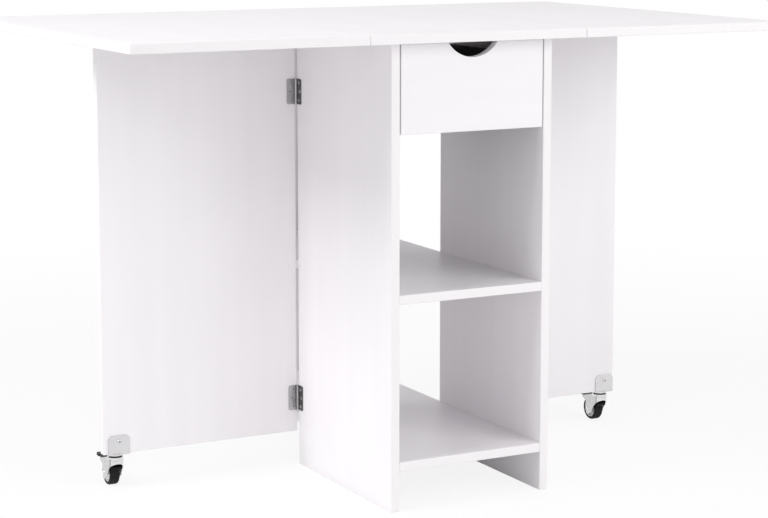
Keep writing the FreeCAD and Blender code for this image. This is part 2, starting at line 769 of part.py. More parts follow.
def cylinder(label, radius, x, y, z, height, turn=AS_MADE):
    return place(plain_pin(label, radius, height), x, y, z, turn)


def fuse(label, *shapes):
    whole = doc.addObject("Part::MultiFuse", label)
    whole.Shapes = list(shapes)
    whole.Refine = True
    return whole


def cut(label, base, *tools):
    """The base less each tool in turn."""
    for number, tool in enumerate(tools, 1):
        rest = doc.addObject("Part::Cut", f"{label}_{number}")
        rest.Base = base
        rest.Tool = tool
        base = rest
    base.Refine = True
    return base


def bracket_shape():
    """The L-shaped caster bracket, screwed to the leg's front, with a collar under the leg's edge."""
    plate = new_body("bracket_plate_shape")
    outline = new_sketch(plate, "XZ_Plane", "board / 2")
    left = "kingpin_inset - bracket_width"
    height = "bracket_height + bracket_plate"
    draw_rectangle(outline, left, FLANGE_BOTTOM, "bracket_width", height)
    pad = add_feature(plate, "Pad", outline, "bracket_plate")
    corners = pick_edges(pad, lambda e, whole: e.YLength > e.XLength and e.ZMin > whole.Center.z)
    round_edges(plate, pad, corners, "bracket_corner")
    strip = new_sketch(plate, "XZ_Plane", "board / 2 + strip_plate")
    draw_rectangle(strip, "kingpin_inset - strip_width", FLANGE_BOTTOM, "strip_width + overcut", height)
    add_feature(plate, "Pocket", strip, "bracket_plate", True)
    front = "-board / 2 - bracket_plate"
    foot = box(
        "bracket_foot_shape",
        "-flange_radius",
        front,
        FLANGE_BOTTOM,
        "2 * flange_radius",
        f"-({front})",
        "bracket_plate",
    )
    disc = cylinder("bracket_disc_shape", "flange_radius", "0", "0", FLANGE_BOTTOM, "bracket_plate")
    collar = cylinder("bracket_collar_shape", "collar_radius", "0", "0", RING_TOP, "collar_drop")
    solid = fuse("bracket_solid_shape", plate, foot, disc, collar)
    pin_bore = cylinder("bracket_bore_shape", KINGPIN_BORE, "0", "0", "0", "table_height")
    screw_bore = cylinder(
        "bracket_screw_bore_shape",
        BRACKET_BORE,
        BRACKET_MIDDLE,
        "0",
        BRACKET_HOLE_Z,
        "board",
        TO_FRONT,
    )
    return cut("bracket_shape", solid, pin_bore, screw_bore)


def fork_shape():
    """The bent steel fork: a round-fronted hood whose cheeks run to a tip at the axle and an ear behind."""
    side = new_body("fork_side_shape")
    outline = new_sketch(side, "YZ_Plane")
    tip = "wheel_radius - tip_drop"
    draw_outline(
        outline,
        [
            (f"-{CHEEK_OUTSIDE}", FORK_TOP),
            (f"-{CHEEK_OUTSIDE}", f"{FORK_TOP} - skirt_height"),
            ("0", "wheel_radius"),
            ("wheel_trail - fork_tip", tip),
            ("wheel_trail + fork_tip", tip),
            ("wheel_trail + ear_root", f"{FORK_TOP} - ear_depth"),
            ("fork_ear", f"{FORK_TOP} - ear_drop - ear_end"),
            ("fork_ear", f"{FORK_TOP} - ear_drop"),
            ("fork_roof", FORK_TOP),
        ],
    )
    pad = add_feature(side, "Pad", outline, "2 * fork_width", midplane=True)
    tips = pick_edges(pad, lambda e, whole: e.XLength > e.YLength and e.ZMax < whole.ZMin + e.XLength / 9)
    round_edges(side, pad, tips, "tip_round")
    arch = cross_pin(
        "fork_arch_shape", "arch_radius", "wheel_trail - arch_forward", "wheel_radius - arch_drop", THROUGH
    )
    plan_front = cylinder("fork_front_shape", CHEEK_OUTSIDE, "0", "0", "0", FORK_TOP)
    left = f"-{CHEEK_OUTSIDE}"
    plan_rear = box("fork_rear_shape", left, "0", "0", "fork_width", "fork_ear", FORK_TOP)
    hood = doc.addObject("Part::MultiCommon", "fork_hood_shape")
    hood.Shapes = [side, fuse("fork_plan_shape", plan_front, plan_rear)]
    inside = f"-{CHEEK_INSIDE}"
    inner_width = f"2 * {CHEEK_INSIDE}"
    hollow_front = cylinder("fork_hollow_front_shape", CHEEK_INSIDE, "0", "0", "0", FORK_UNDER)
    hollow_rear = box("fork_hollow_rear_shape", inside, "0", "0", inner_width, THROUGH, FORK_UNDER)
    mouth = box("fork_mouth_shape", inside, "fork_roof", "0", inner_width, THROUGH, "leg_bottom")
    open_hood = cut("fork_open_shape", hood, arch, hollow_front, hollow_rear, mouth)
    head = cylinder("fork_head_shape", "head_radius", "0", "0", FORK_TOP, "head_height")
    solid = fuse("fork_solid_shape", open_hood, head)
    head_bore = cylinder("fork_bore_shape", KINGPIN_BORE, "0", "0", "0", "leg_bottom")
    axle_bore = cross_pin("fork_axle_bore_shape", AXLE_BORE, "wheel_trail", "wheel_radius", THROUGH)
    pin_bore = cross_pin("fork_pin_bore_shape", BRAKE_PIN_BORE, PIVOT_Y, PIVOT_Z, THROUGH)
    return cut("fork_shape", solid, head_bore, axle_bore, pin_bore)


def cross_pin(label, radius, y, z, length):
    """A round pin or bore along X, with its middle on the caster's own middle plane."""
    return cylinder(label, radius, f"-({length}) / 2", y, z, length, TO_RIGHT)


def pedal_shape():
    """The brake pedal: a curved shoe with a rolled lip, a boss on its pivot, a neck and a foot plate."""
    shoe = new_body("pedal_shoe_shape")
    section = new_sketch(shoe, "XZ_Plane")
    half = f"({CHEEK_INSIDE} - pedal_side_gap)"
    draw_rectangle(section, f"-{half}", ARC_INNER, f"2 * {half}", "pedal_plate")
    sweep = shoe.newObject("PartDesign::Revolution", "pedal_shoe_turning")
    sweep.Profile = section
    sweep.ReferenceAxis = (section, ["H_Axis"])
    bind(sweep, "Angle", "pedal_nose_angle")
    nose = pick_edges(sweep, lambda e, whole: e.XLength < e.ZLength < e.YLength < whole.YLength / 2)
    round_edges(shoe, sweep, nose, "pedal_nose_round")
    place(shoe, "0", "wheel_trail", "wheel_radius")
    riser = new_body("pedal_riser_shape")
    outline = new_sketch(riser, "YZ_Plane")
    foot_top = f"wheel_radius + {ARC_OUTER} + pedal_rise"
    draw_outline(
        outline,
        [
            ("wheel_trail", f"wheel_radius + {ARC_INNER}"),
            ("wheel_trail + pedal_rise", f"wheel_radius + {ARC_INNER} + pedal_rise / 2"),
            ("pedal_start", f"{foot_top} - pedal_plate"),
            ("pedal_start", foot_top),
            ("wheel_trail + pedal_rise / 2", foot_top),
            ("wheel_trail", f"wheel_radius + {ARC_OUTER}"),
        ],
    )
    add_feature(riser, "Pad", outline, f"2 * {half}", midplane=True)
    neck = box(
        "pedal_neck_shape",
        f"-{half}",
        "pedal_start",
        f"{foot_top} - foot_plate",
        f"2 * {half}",
        "fork_ear + ear_gap + foot_gap - pedal_start",
        "foot_plate",
    )
    foot = new_body("pedal_foot_shape")
    tread = new_sketch(foot, "XY_Plane", f"{foot_top} - foot_plate")
    start = "fork_ear + ear_gap"
    draw_rectangle(tread, "-pedal_width / 2", start, "pedal_width", f"pedal_reach - ({start})")
    pad = add_feature(foot, "Pad", tread, "foot_plate")
    corners = pick_edges(pad, lambda e, whole: e.ZLength > e.XLength and e.YMin > whole.Center.y)
    round_edges(foot, pad, corners, "foot_corner")
    boss = cross_pin("pedal_boss_shape", "pedal_boss", PIVOT_Y, PIVOT_Z, f"2 * {half}")
    lip = cross_pin("pedal_lip_shape", "pedal_lip", LIP_Y, LIP_Z, f"2 * ({half} - 3 * pedal_side_gap)")
    solid = fuse("pedal_solid_shape", shoe, riser, neck, foot, boss, lip)
    bore = cross_pin("pedal_bore_shape", BRAKE_PIN_BORE, PIVOT_Y, PIVOT_Z, THROUGH)
    return cut("pedal_shape", solid, bore)


def tyre():
    """The wheel's tread: a ring round the Z axis, centred on its own middle, with rounded shoulders."""
    body = new_body("tread_shape")
    face = new_sketch(body, "XY_Plane", "-wheel_width / 2")
    draw_circle(face, "0", "0", "wheel_radius")
    ring = add_feature(body, "Pad", face, "wheel_width")
    shoulders = pick_edges(ring, lambda e, whole: e.XLength > e.ZLength)
    round_edges(body, ring, shoulders, "tread_round")
    hole = new_sketch(body, "XY_Plane", "-wheel_width / 2")
    draw_circle(hole, "0", "0", TREAD_INSIDE)
    add_feature(body, "Pocket", hole, "wheel_width", True)
    return body


def turned_pin(label, radius, head, head_height, reach):
    """A riveted pin round the Z axis: a head at each end, and reach from its middle to a head."""
    tip = f"{reach} + {head_height}"
    return turned(
        label,
        [
            ("0", f"-({tip})"),
            (head, f"-({tip})"),
            (head, f"-({reach})"),
            (radius, f"-({reach})"),
            (radius, reach),
            (head, reach),
            (head, tip),
            ("0", tip),
        ],
    )


kingpin = turned(
    "kingpin_shape",
    [
        ("0", KINGPIN_FOOT),
        ("kingpin_head", KINGPIN_FOOT),
        ("kingpin_head", f"{KINGPIN_FOOT} + kingpin_head_height"),
        ("kingpin_radius", f"{KINGPIN_FOOT} + kingpin_head_height"),
        ("kingpin_radius", FLANGE_TOP),
        ("kingpin_head", FLANGE_TOP),
        ("kingpin_head", f"{FLANGE_TOP} + kingpin_head_height"),
        ("0", f"{FLANGE_TOP} + kingpin_head_height"),
    ],
)
ring_shape = cut(
    "dust_ring_shape",
    cylinder("dust_ring_disc_shape", "ring_radius", "0", "0", f"{RING_TOP} - ring_height", "ring_height"),
    cylinder("dust_ring_bore_shape", KINGPIN_BORE, "0", "0", "0", "table_height"),
)
axle = turned_pin("axle_shape", "axle_radius", "axle_head", "axle_head_height", CHEEK_OUTSIDE)
brake_pin = turned_pin(
    "brake_pin_shape", "brake_pin_radius", "pedal_boss", "axle_head_height / 2", CHEEK_OUTSIDE
)
HUB_OUTSIDE = f"({TREAD_INSIDE} - running_clearance)"
HUB_STEPS = [
    (AXLE_BORE, f"({CHEEK_INSIDE} - hub_gap)"),
    ("hub_boss", f"({CHEEK_INSIDE} - hub_gap)"),
    ("hub_boss", "hub_web / 2"),
    (f"{HUB_OUTSIDE} - hub_rim", "hub_web / 2"),
    (f"{HUB_OUTSIDE} - hub_rim", "(wheel_width / 2 - hub_inset)"),
    (HUB_OUTSIDE, "(wheel_width / 2 - hub_inset)"),
]
hub = turned("hub_shape", HUB_STEPS + [(radius, f"-{half}") for radius, half in reversed(HUB_STEPS)])
tread = tyre()

SWIVEL = (KINGPIN_X, KINGPIN_Y, "0", AS_MADE)
AXLE = (KINGPIN_X, f"{KINGPIN_Y} + wheel_trail", "wheel_radius", TO_RIGHT)
BRAKE = (KINGPIN_X, f"{KINGPIN_Y} + {PIVOT_Y}", PIVOT_Z, TO_RIGHT)
BRACKET_HEAD = (
    f"{KINGPIN_X} + {BRACKET_MIDDLE}",
    f"{LEG_FRONT} - bracket_plate",
    BRACKET_HOLE_Z,
    TO_FRONT,
)
CASTER_PIECES = {
    "caster_bracket": (bracket_shape(), *SWIVEL),
    "bracket_screw": (bracket_screw, *BRACKET_HEAD),
    "kingpin": (kingpin, *SWIVEL),
    "dust_ring": (ring_shape, *SWIVEL),
    "caster_fork": (fork_shape(), *SWIVEL),
    "wheel_axle": (axle, *AXLE),
    "brake_pin": (brake_pin, *BRAKE),
    "brake_pedal": (pedal_shape(), *SWIVEL),
    "wheel_hub": (hub, *AXLE),
    "wheel_tread": (tread, *AXLE),
}
SAME_HAND = ("caster_bracket", "bracket_screw")
for name, (shape, x, *rest) in CASTER_PIECES.items():
    right_piece = copies(f"right_{name}", [(shape, x, *rest)])
    if name in SAME_HAND:
        copies(f"left_{name}", [(shape, f"{x} - 2 * {KINGPIN_X}", *rest)])
    else:
        mirrored(f"left_{name}", right_piece)

# Drawer: a box behind the front, its sides grooved for the runners and for the bottom panel.
front_size = (f"(2 * {DRAWER_HALF})", "board", "drawer_front_height")
side_size = ("drawer_side", "drawer_length", "drawer_side_height")
BOX_INSIDE = f"({DRAWER_HALF} - drawer_side)"
SIDE_MIDDLE = f"({DRAWER_HALF} - drawer_side / 2)"
BOX_Y = f"({FRONT} + board)"
BOX_Z = f"({FRONT_BOTTOM} + drawer_side_lift)"
BACK_Y = f"({BOX_Y} + drawer_length - drawer_side)"
back_board_size = (f"(2 * {BOX_INSIDE})", "drawer_side", "drawer_side_height")
GROOVE_HEIGHT = "drawer_bottom + groove_clearance"
FIXING_HEIGHTS = ["dowel_inset", "drawer_side_height - dowel_inset"]
HALF_DOWEL = "dowel_length / 2 + running_clearance"
DOWEL_BORE = "dowel_radius + bore_clearance"

drawer_front = board("drawer_front", front_size, (f"-{DRAWER_HALF}", FRONT, FRONT_BOTTOM))


def draw_finger_notch(sketch):
    draw_circle(sketch, DRAWER_HALF, "drawer_front_height + notch_radius - notch_depth", "notch_radius")


def draw_front_groove(sketch):
    left = "(drawer_side - groove_depth)"
    width = f"2 * ({DRAWER_HALF} - {left})"
    draw_rectangle(sketch, left, "drawer_side_lift + bottom_lift", width, GROOVE_HEIGHT)


cut_face(drawer_front, front_size, "front", draw_finger_notch, "board")
cut_face(drawer_front, front_size, "back", draw_front_groove, "groove_depth")
dowel_holes = [
    (f"{DRAWER_HALF} + {side} * {SIDE_MIDDLE}", f"drawer_side_lift + {z}")
    for side in (-1, 1)
    for z in FIXING_HEIGHTS
]
bore_face(drawer_front, front_size, "back", dowel_holes, DOWEL_BORE, HALF_DOWEL)

right_drawer_side = board("drawer_right_side", side_size, (BOX_INSIDE, BOX_Y, BOX_Z))


def draw_runner_groove(sketch):
    start = "runner_setback - board - runner_stop"
    bottom = "runner_lift - drawer_side_lift - 2 * runner_clearance"
    draw_rectangle(sketch, start, bottom, "drawer_length", "runner_height + 3 * runner_clearance")


def draw_bottom_groove(sketch):
    draw_rectangle(sketch, "0", "bottom_lift", "drawer_length", GROOVE_HEIGHT)


groove = "runner_thickness - drawer_gap + runner_clearance"
cut_face(right_drawer_side, side_size, "right", draw_runner_groove, groove)
cut_face(right_drawer_side, side_size, "left", draw_bottom_groove, "groove_depth")
dowel_holes = [("drawer_side / 2", z) for z in FIXING_HEIGHTS]
bore_face(right_drawer_side, side_size, "front", dowel_holes, DOWEL_BORE, HALF_DOWEL)
side_holes = [("drawer_length - drawer_side / 2", z) for z in FIXING_HEIGHTS]
bore_face(right_drawer_side, side_size, "right", side_holes, SCREW_BORE, "drawer_side")
for y, z in side_holes:
    countersink(right_drawer_side, "drawer_side", y, z, TO_LEFT)
mirrored("drawer_left_side", right_drawer_side)

drawer_back = board("drawer_back", back_board_size, (f"-{BOX_INSIDE}", BACK_Y, BOX_Z))


def draw_back_groove(sketch):
    width = f"2 * ({BOX_INSIDE} + overcut)"
    draw_rectangle(sketch, "-overcut", "bottom_lift", width, GROOVE_HEIGHT)


cut_face(drawer_back, back_board_size, "front", draw_back_groove, "groove_depth")
end_holes = [("drawer_side / 2", z) for z in FIXING_HEIGHTS]
for face in ("left", "right"):
    bore_face(drawer_back, back_board_size, face, end_holes, SCREW_BORE, "long_screw_length - drawer_side")

slack = "groove_depth - runner_clearance"
bottom_size = (
    f"(2 * ({BOX_INSIDE} + {slack}))",
    f"({BACK_Y} - {BOX_Y} + 2 * ({slack}))",
    "drawer_bottom",
)
bottom_corner = (f"-({BOX_INSIDE} + {slack})", f"{BOX_Y} - ({slack})", f"{BOX_Z} + bottom_lift")
board("drawer_bottom_panel", bottom_size, bottom_corner)

fixing_sides = ((1, TO_RIGHT), (-1, TO_LEFT))
back_screws = [
    (long_screw, f"{side} * {DRAWER_HALF}", f"{BACK_Y} + drawer_side / 2", f"{BOX_Z} + {z}", turn)
    for side, turn in fixing_sides
    for z in FIXING_HEIGHTS
]
copies("drawer_screws", back_screws)
dowels = [
    (dowel, f"{side} * {SIDE_MIDDLE}", f"{BOX_Y} - dowel_length / 2", f"{BOX_Z} + {z}", TO_BACK)
    for side in (-1, 1)
    for z in FIXING_HEIGHTS
]
copies("drawer_dowels", dowels)

# Runners, screwed inside the side panels. The drawer's grooves ride on them.
runner_size = ("runner_thickness", "runner_length", "runner_height")
RUNNER_X = f"({INNER} - runner_thickness)"
RUNNER_Y = f"({FRONT} + runner_setback)"
right_runner = board("right_drawer_runner", runner_size, (RUNNER_X, RUNNER_Y, RUNNER_Z))
runner_bores = [(y, "runner_height / 2") for y in RUNNER_SCREWS]
bore_face(right_runner, runner_size, "left", runner_bores, SCREW_BORE, "runner_thickness")
for y, z in runner_bores:
    countersink(right_runner, "0", y, z, TO_RIGHT)
mirrored("left_drawer_runner", right_runner)
runner_screws = [
    (screw, f"{side} * {RUNNER_X}", f"{RUNNER_Y} + {y}", f"{RUNNER_Z} + runner_height / 2", turn)
    for side, turn in ((1, TO_LEFT), (-1, TO_RIGHT))
    for y in RUNNER_SCREWS
]
copies("runner_screws", runner_screws)

doc.recompute()

# Every object that nothing else is made from, and that isn't a helper, is one sub-part.
NODE_KINDS = ("PartDesign::Body", "Part::Compound", "Part::Mirroring")
nodes = [item for item in doc.Objects if item.TypeId in NODE_KINDS and not item.Name.endswith("_shape")]

for item in doc.Objects:
    if "Invalid" in item.State or "Error" in item.State:
        raise RuntimeError(f"{item.Label} failed to recompute: {item.State}")
    if item.TypeId == "PartDesign::Pocket" and item.Shape.Volume > item.BaseFeature.Shape.Volume - 0.01:
        raise RuntimeError(f"{item.Label} cuts nothing")
for node in nodes:
    if node.Shape.isNull() or not node.Shape.isValid() or not node.Shape.Solids:
        raise RuntimeError(f"{node.Label} has no valid solid")

os.makedirs("parts", exist_ok=True)
for node in nodes:
    node.Shape.exportStep(f"parts/{node.Label}.step")
print(len(nodes), "nodes,", sum(len(node.Shape.Solids) for node in nodes), "solids")
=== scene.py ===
"""Looks of a drop-leaf kitchen table with a storage cabinet: finishes, fasteners, studio and camera.

Everything is in metres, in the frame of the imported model: +Z up, the drawer opens towards -Y.
"""

import json
import math
from typing import NamedTuple

import bmesh
import bpy
import numpy as np
from mathutils import Matrix, Vector


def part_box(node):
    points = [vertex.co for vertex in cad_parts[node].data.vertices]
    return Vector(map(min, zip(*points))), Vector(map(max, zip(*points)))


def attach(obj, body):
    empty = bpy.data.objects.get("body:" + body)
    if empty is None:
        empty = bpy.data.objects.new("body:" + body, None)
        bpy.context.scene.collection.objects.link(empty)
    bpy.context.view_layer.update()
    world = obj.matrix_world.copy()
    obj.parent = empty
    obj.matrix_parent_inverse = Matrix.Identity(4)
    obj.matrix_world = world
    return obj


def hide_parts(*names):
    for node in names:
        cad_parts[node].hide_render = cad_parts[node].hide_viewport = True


bl_info = {
    "name": "Drop-Leaf Kitchen Table",
    "version": (1, 0, 0),
    "blender": (4, 5, 0),
    "location": "3D View > Sidebar > Table",
    "description": "Dresses a drop-leaf kitchen table with its finishes, fasteners and studio",
    "category": "Object",
}

MM = 0.001

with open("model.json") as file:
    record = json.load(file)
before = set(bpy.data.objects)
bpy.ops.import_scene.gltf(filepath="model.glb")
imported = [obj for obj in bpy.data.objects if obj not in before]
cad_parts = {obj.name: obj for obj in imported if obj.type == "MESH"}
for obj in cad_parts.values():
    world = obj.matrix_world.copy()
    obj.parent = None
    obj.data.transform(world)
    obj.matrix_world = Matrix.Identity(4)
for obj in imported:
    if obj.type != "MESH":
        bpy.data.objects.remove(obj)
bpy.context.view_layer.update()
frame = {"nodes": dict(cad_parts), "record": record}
NODES = frame["nodes"]
SLOTS = {part["node"]: part["material_slot"] for part in frame["record"]["subparts"]}
BODIES = frame["record"]["behaviour"]["bodies"]
BODY_OF = {node: body for body, nodes in BODIES.items() for node in nodes}


# Shader trees

MIX_AMOUNT, MIX_FIRST, MIX_SECOND = 0, 6, 7
MIX_RESULT = 2
BEVEL_SAMPLES = 6


class Wire:
    """A node's output in a material, which can be used in arithmetic."""

    def __init__(self, finish, socket):
        self.finish = finish
        self.socket = socket

    def _math(self, operation, *operands):
        return self.finish.node("ShaderNodeMath", {"operation": operation}, dict(enumerate(operands)))

    def __add__(self, other):
        return self._math("ADD", self, other)

    def __sub__(self, other):
        return self._math("SUBTRACT", self, other)

    def __rsub__(self, other):
        return self._math("SUBTRACT", other, self)

    def __mul__(self, other):
        return self._math("MULTIPLY", self, other)

    def __pow__(self, other):
        return self._math("POWER", self, other)

    def __abs__(self):
        return self._math("ABSOLUTE", self)

    __radd__ = __add__
    __rmul__ = __mul__

    def least(self, other):
        return self._math("MINIMUM", self, other)

    def most(self, other):
        return self._math("MAXIMUM", self, other)

    def ramp(self, start, end, low=0.0, high=1.0):
        """Runs smoothly from low to high as this value runs from start to end."""
        settings = {"interpolation_type": "SMOOTHSTEP"}
        values = {"Value": self, "From Min": start, "From Max": end, "To Min": low, "To Max": high}
        return self.finish.node("ShaderNodeMapRange", settings, values, "Result")


class Finish:
    """A material or world and the nodes that make it."""

    def __init__(self, owner):
        self.owner = owner
        owner.use_nodes = True
        self.tree = owner.node_tree
        self.tree.nodes.clear()

    def node(self, kind, settings=None, values=None, output=0):
        """Adds a node: its settings first, then the values or links of its sockets."""
        node = self.tree.nodes.new(kind)
        for name, setting in (settings or {}).items():
            setattr(node, name, setting)
        for key, value in (values or {}).items():
            if isinstance(value, Wire):
                self.tree.links.new(value.socket, node.inputs[key])
            else:
                node.inputs[key].default_value = value
        return Wire(self, node.outputs[output]) if node.outputs else None

    def point(self):
        """The place on the object at rest, in metres."""
        return self.node("ShaderNodeTexCoord", output="Object")

    def facing(self):
        """The direction that the surface faces, in the object's own axes."""
        return self.node("ShaderNodeTexCoord", output="Normal")

    def split(self, vector):
        parts = self.node("ShaderNodeSeparateXYZ", values={0: vector}).socket.node
        return [Wire(self, output) for output in parts.outputs]

    def stretched(self, vector, scales, shift=(0.0, 0.0, 0.0)):
        settings = {"operation": "MULTIPLY_ADD"}
        values = {0: vector, 1: scales, 2: shift}
        return self.node("ShaderNodeVectorMath", settings, values)

    def noise(self, vector, scale=1.0, detail=3.0, roughness=0.55, distortion=0.0):
        values = {
            "Vector": vector,
            "Scale": scale,
            "Detail": detail,
            "Roughness": roughness,
            "Distortion": distortion,
        }
        return self.node("ShaderNodeTexNoise", {}, values, "Fac")

    def blend(self, amount, first, second, how="MIX"):
        """A colour between two colours."""
        settings = {"data_type": "RGBA", "blend_type": how}
        values = {MIX_AMOUNT: amount, MIX_FIRST: first, MIX_SECOND: second}
        return self.node("ShaderNodeMix", settings, values, MIX_RESULT)

    def bump(self, height, distance, strength, normal=None):
        values = {"Height": height, "Distance": distance, "Strength": strength}
        if normal:
            values["Normal"] = normal
        return self.node("ShaderNodeBump", {}, values)

    def rounded(self, radius):
        """The direction that the surface faces, with its sharp edges rounded off."""
        return self.node("ShaderNodeBevel", {"samples": BEVEL_SAMPLES}, {"Radius": radius})

    def surface(self, **values):
        """Ends a material in one Principled shader. Sockets are named with underscores."""
        named = {key.replace("_", " "): value for key, value in values.items()}
        shader = self.node("ShaderNodeBsdfPrincipled", {}, named)
        self.node("ShaderNodeOutputMaterial", {}, {"Surface": shader})
        return self.owner


def new_finish(name):
    return Finish(bpy.data.materials.new(name))


def grey(level, tint=(1.0, 1.0, 1.0)):
    return (*(level * part for part in tint), 1.0)


# Finishes. Numbers for grain, clouds, threads and marks are scales of the noise, per metre.

GRAIN_ALONG, GRAIN_ACROSS = 60.0, 900.0
STREAKS_ALONG, STREAKS_ACROSS = 1.6, 26.0
BOARD_CLOUDS = 5.0
BOARD_PEEL = 1400.0
LOW_CORNER_SEED, HIGH_CORNER_SEED = 7.3, 3.1
BAND_THICKNESS = 0.9 * MM
BAND_LINE = 0.6 * BAND_THICKNESS
BAND_WHITE = grey(0.985, (1.0, 0.998, 0.99))
SEAM_WIDTH = 0.12 * MM
SEAM_GREY = grey(0.55)
SEAM_DARKNESS = 0.35
# A band along the lowest 14 mm of each board that is darker, warmer grey and rougher in cloudy patches
LOW_BAND_TOP, LOW_BAND_FULL = 14.0 * MM, 0.5 * MM
LOW_BAND_GREY = grey(0.5, (1.0, 0.97, 0.92))
LOW_BAND_DARKNESS = 0.12
EMBOSS_DEPTH, EMBOSS_STRENGTH = 0.03 * MM, 0.5
BOARD_EDGE = 0.5 * MM
BOARD_GREY, BOARD_WHITE = grey(0.972), grey(1.0)
BOARD_GLOSS = 0.45
EDGE_ON, FACE_ON = 0.35, 0.75

THREADS_ACROSS, THREADS_ALONG = 1700.0, 160.0
FOIL_CLOUDS = 9.0
FOIL_CONTRAST = 1.35
LINEN_DEPTH, LINEN_STRENGTH = 0.06 * MM, 0.6
FOIL_GLOSS = 0.3

METAL_TINT = (1.0, 0.985, 1.0, 1.0)
ROLLED_ACROSS, ROLLED_ALONG = 2600.0, 90.0
SPANGLE = 320.0
STEEL_CLOUDS = 60.0
STEEL_MARKS = 900.0
STEEL_DEPTH, STEEL_STRENGTH = 0.02 * MM, 0.4
STEEL_EDGE = 0.2 * MM

KNUCKLE_REACH = 2.3 * MM
KNUCKLE_BLEND = 0.5 * MM
# Where the painted shade line beside a hinge's knuckles lies, and how dark it is
CREASE_REACH = 0.9 * MM
CREASE_WIDTH = 1.2 * MM
CREASE_CORE = 0.2 * MM
CREASE_SHADE_DARKNESS = 0.45
HINGE_ROUGHNESS, HINGE_PIN_ROUGHNESS = 0.3, 0.25
# The cross recesses' near-black level is painted shade in the hollows.
RECESS_SHADE_LEVEL, RECESS_ROUGHNESS = 0.05, 0.5
DULL_ROUGHNESS, BRIGHT_ROUGHNESS, SATIN_ROUGHNESS = 0.32, 0.22, 0.42
CAST_LEVEL, CAST_ROUGHNESS = 0.45, 0.45

PLATING_RIPPLE = 130.0
PLATING_CLOUDS = 45.0
MARKS_LEVEL, MARKS_UPRIGHT = 700.0, 2600.0
PLATING_DEPTH, PLATING_STRENGTH = 0.05 * MM, 0.35
PLATING_EDGE = 0.35 * MM
PLATING_ROUGHNESS, FORK_ROUGHNESS = 0.2, 0.16

SPARK_GRAIN = 2600.0
FLOW_ALONG, FLOW_ACROSS = 90.0, 240.0
PLASTIC_DEPTH, PLASTIC_STRENGTH = 0.025 * MM, 0.5
PLASTIC_EDGE = 0.3 * MM
NYLON_BLACK, BLACK_ROUGHNESS, BLACK_GLOSS = grey(0.006), 0.4, 0.15
HUB_WHITE, HUB_ROUGHNESS = grey(0.85, (1.0, 0.99, 1.0)), 0.3
NYLON_WHITE, WHITE_ROUGHNESS = grey(0.72), 0.42

RUBBER_GRAIN = 1900.0
DUST_ACROSS, DUST_ROUND = 260.0, 120.0
RUBBER_BLACK = grey(0.009)
RUBBER_DUSTY = grey(0.02, (1.0, 0.96, 0.98))
RUBBER_DEPTH, RUBBER_STRENGTH = 0.04 * MM, 0.5
RUBBER_EDGE = 0.5 * MM
RUBBER_GLOSS = 0.18
WORN_SHARE, WORN_CORE = 0.75, 0.3

BEECH_DARK, BEECH_PALE = (0.62, 0.42, 0.24, 1.0), (0.74, 0.55, 0.35, 1.0)
BEECH_FLECK = (0.42, 0.25, 0.13, 1.0)
RINGS_ALONG, RINGS_ACROSS = 60.0, 900.0
FLECKS_ALONG, FLECKS_ACROSS = 240.0, 2600.0
BEECH_DEPTH, BEECH_STRENGTH = 0.03 * MM, 0.5


def melamine(name, low, high, colour, grain_axis):
    """White melamine with a faint embossed grain along one axis and a plastic band round its edges."""
    look = new_finish(name)
    point = look.point()
    thin = min(range(3), key=lambda i: high[i] - low[i])
    flat = [i for i in range(3) if i != thin]
    parts = look.split(point)
    normals = look.split(look.facing())
    shift = [LOW_CORNER_SEED * low[i] + HIGH_CORNER_SEED * high[i] for i in range(3)]
    grain_scales = [GRAIN_ALONG if i == grain_axis else GRAIN_ACROSS for i in range(3)]
    streak_scales = [STREAKS_ALONG if i == grain_axis else STREAKS_ACROSS for i in range(3)]
    pores = look.noise(look.stretched(point, grain_scales, shift), detail=4.0, roughness=0.65)
    streaks = look.noise(look.stretched(point, streak_scales, shift), roughness=0.5, distortion=0.3)
    cloud = look.noise(look.stretched(point, (BOARD_CLOUDS, BOARD_CLOUDS, BOARD_CLOUDS), shift), detail=2.0)
    peel = look.noise(point, scale=BOARD_PEEL, detail=1.0)
    depth = [(parts[i] - low[i]).least(high[i] - parts[i]) for i in range(3)]
    on_edge = abs(normals[thin]).ramp(FACE_ON, EDGE_ON)
    rim = depth[flat[0]].least(depth[flat[1]])
    face_seam = abs(rim - BAND_THICKNESS).ramp(SEAM_WIDTH, 0.0) * (1.0 - on_edge)
    edge_seam = abs(depth[thin] - BAND_LINE).ramp(SEAM_WIDTH, 0.0) * on_edge
    seam = face_seam.most(edge_seam)
    # Darker, warmer grey and rougher towards the floor, in cloudy patches.
    low_band = parts[2].ramp(LOW_BAND_TOP, LOW_BAND_FULL) * cloud.ramp(0.35, 0.75)
    tone = streaks * 0.6 + cloud * 0.4
    face = look.blend(tone.ramp(0.3, 0.7), BOARD_GREY, BOARD_WHITE)
    banded = look.blend(on_edge, face, BAND_WHITE)
    lined = look.blend(seam * SEAM_DARKNESS, banded, SEAM_GREY)
    marked_band = look.blend(low_band * LOW_BAND_DARKNESS, lined, LOW_BAND_GREY)
    tinted = look.blend(1.0, marked_band, colour, "MULTIPLY")
    relief = pores * 0.6 + peel * 0.25 - seam * 0.8
    return look.surface(
        Base_Color=tinted,
        Roughness=pores.ramp(0.2, 0.8, low=0.36, high=0.48) + low_band * 0.2,
        Normal=look.bump(relief, EMBOSS_DEPTH, EMBOSS_STRENGTH, look.rounded(BOARD_EDGE)),
        Specular_IOR_Level=BOARD_GLOSS,
    )


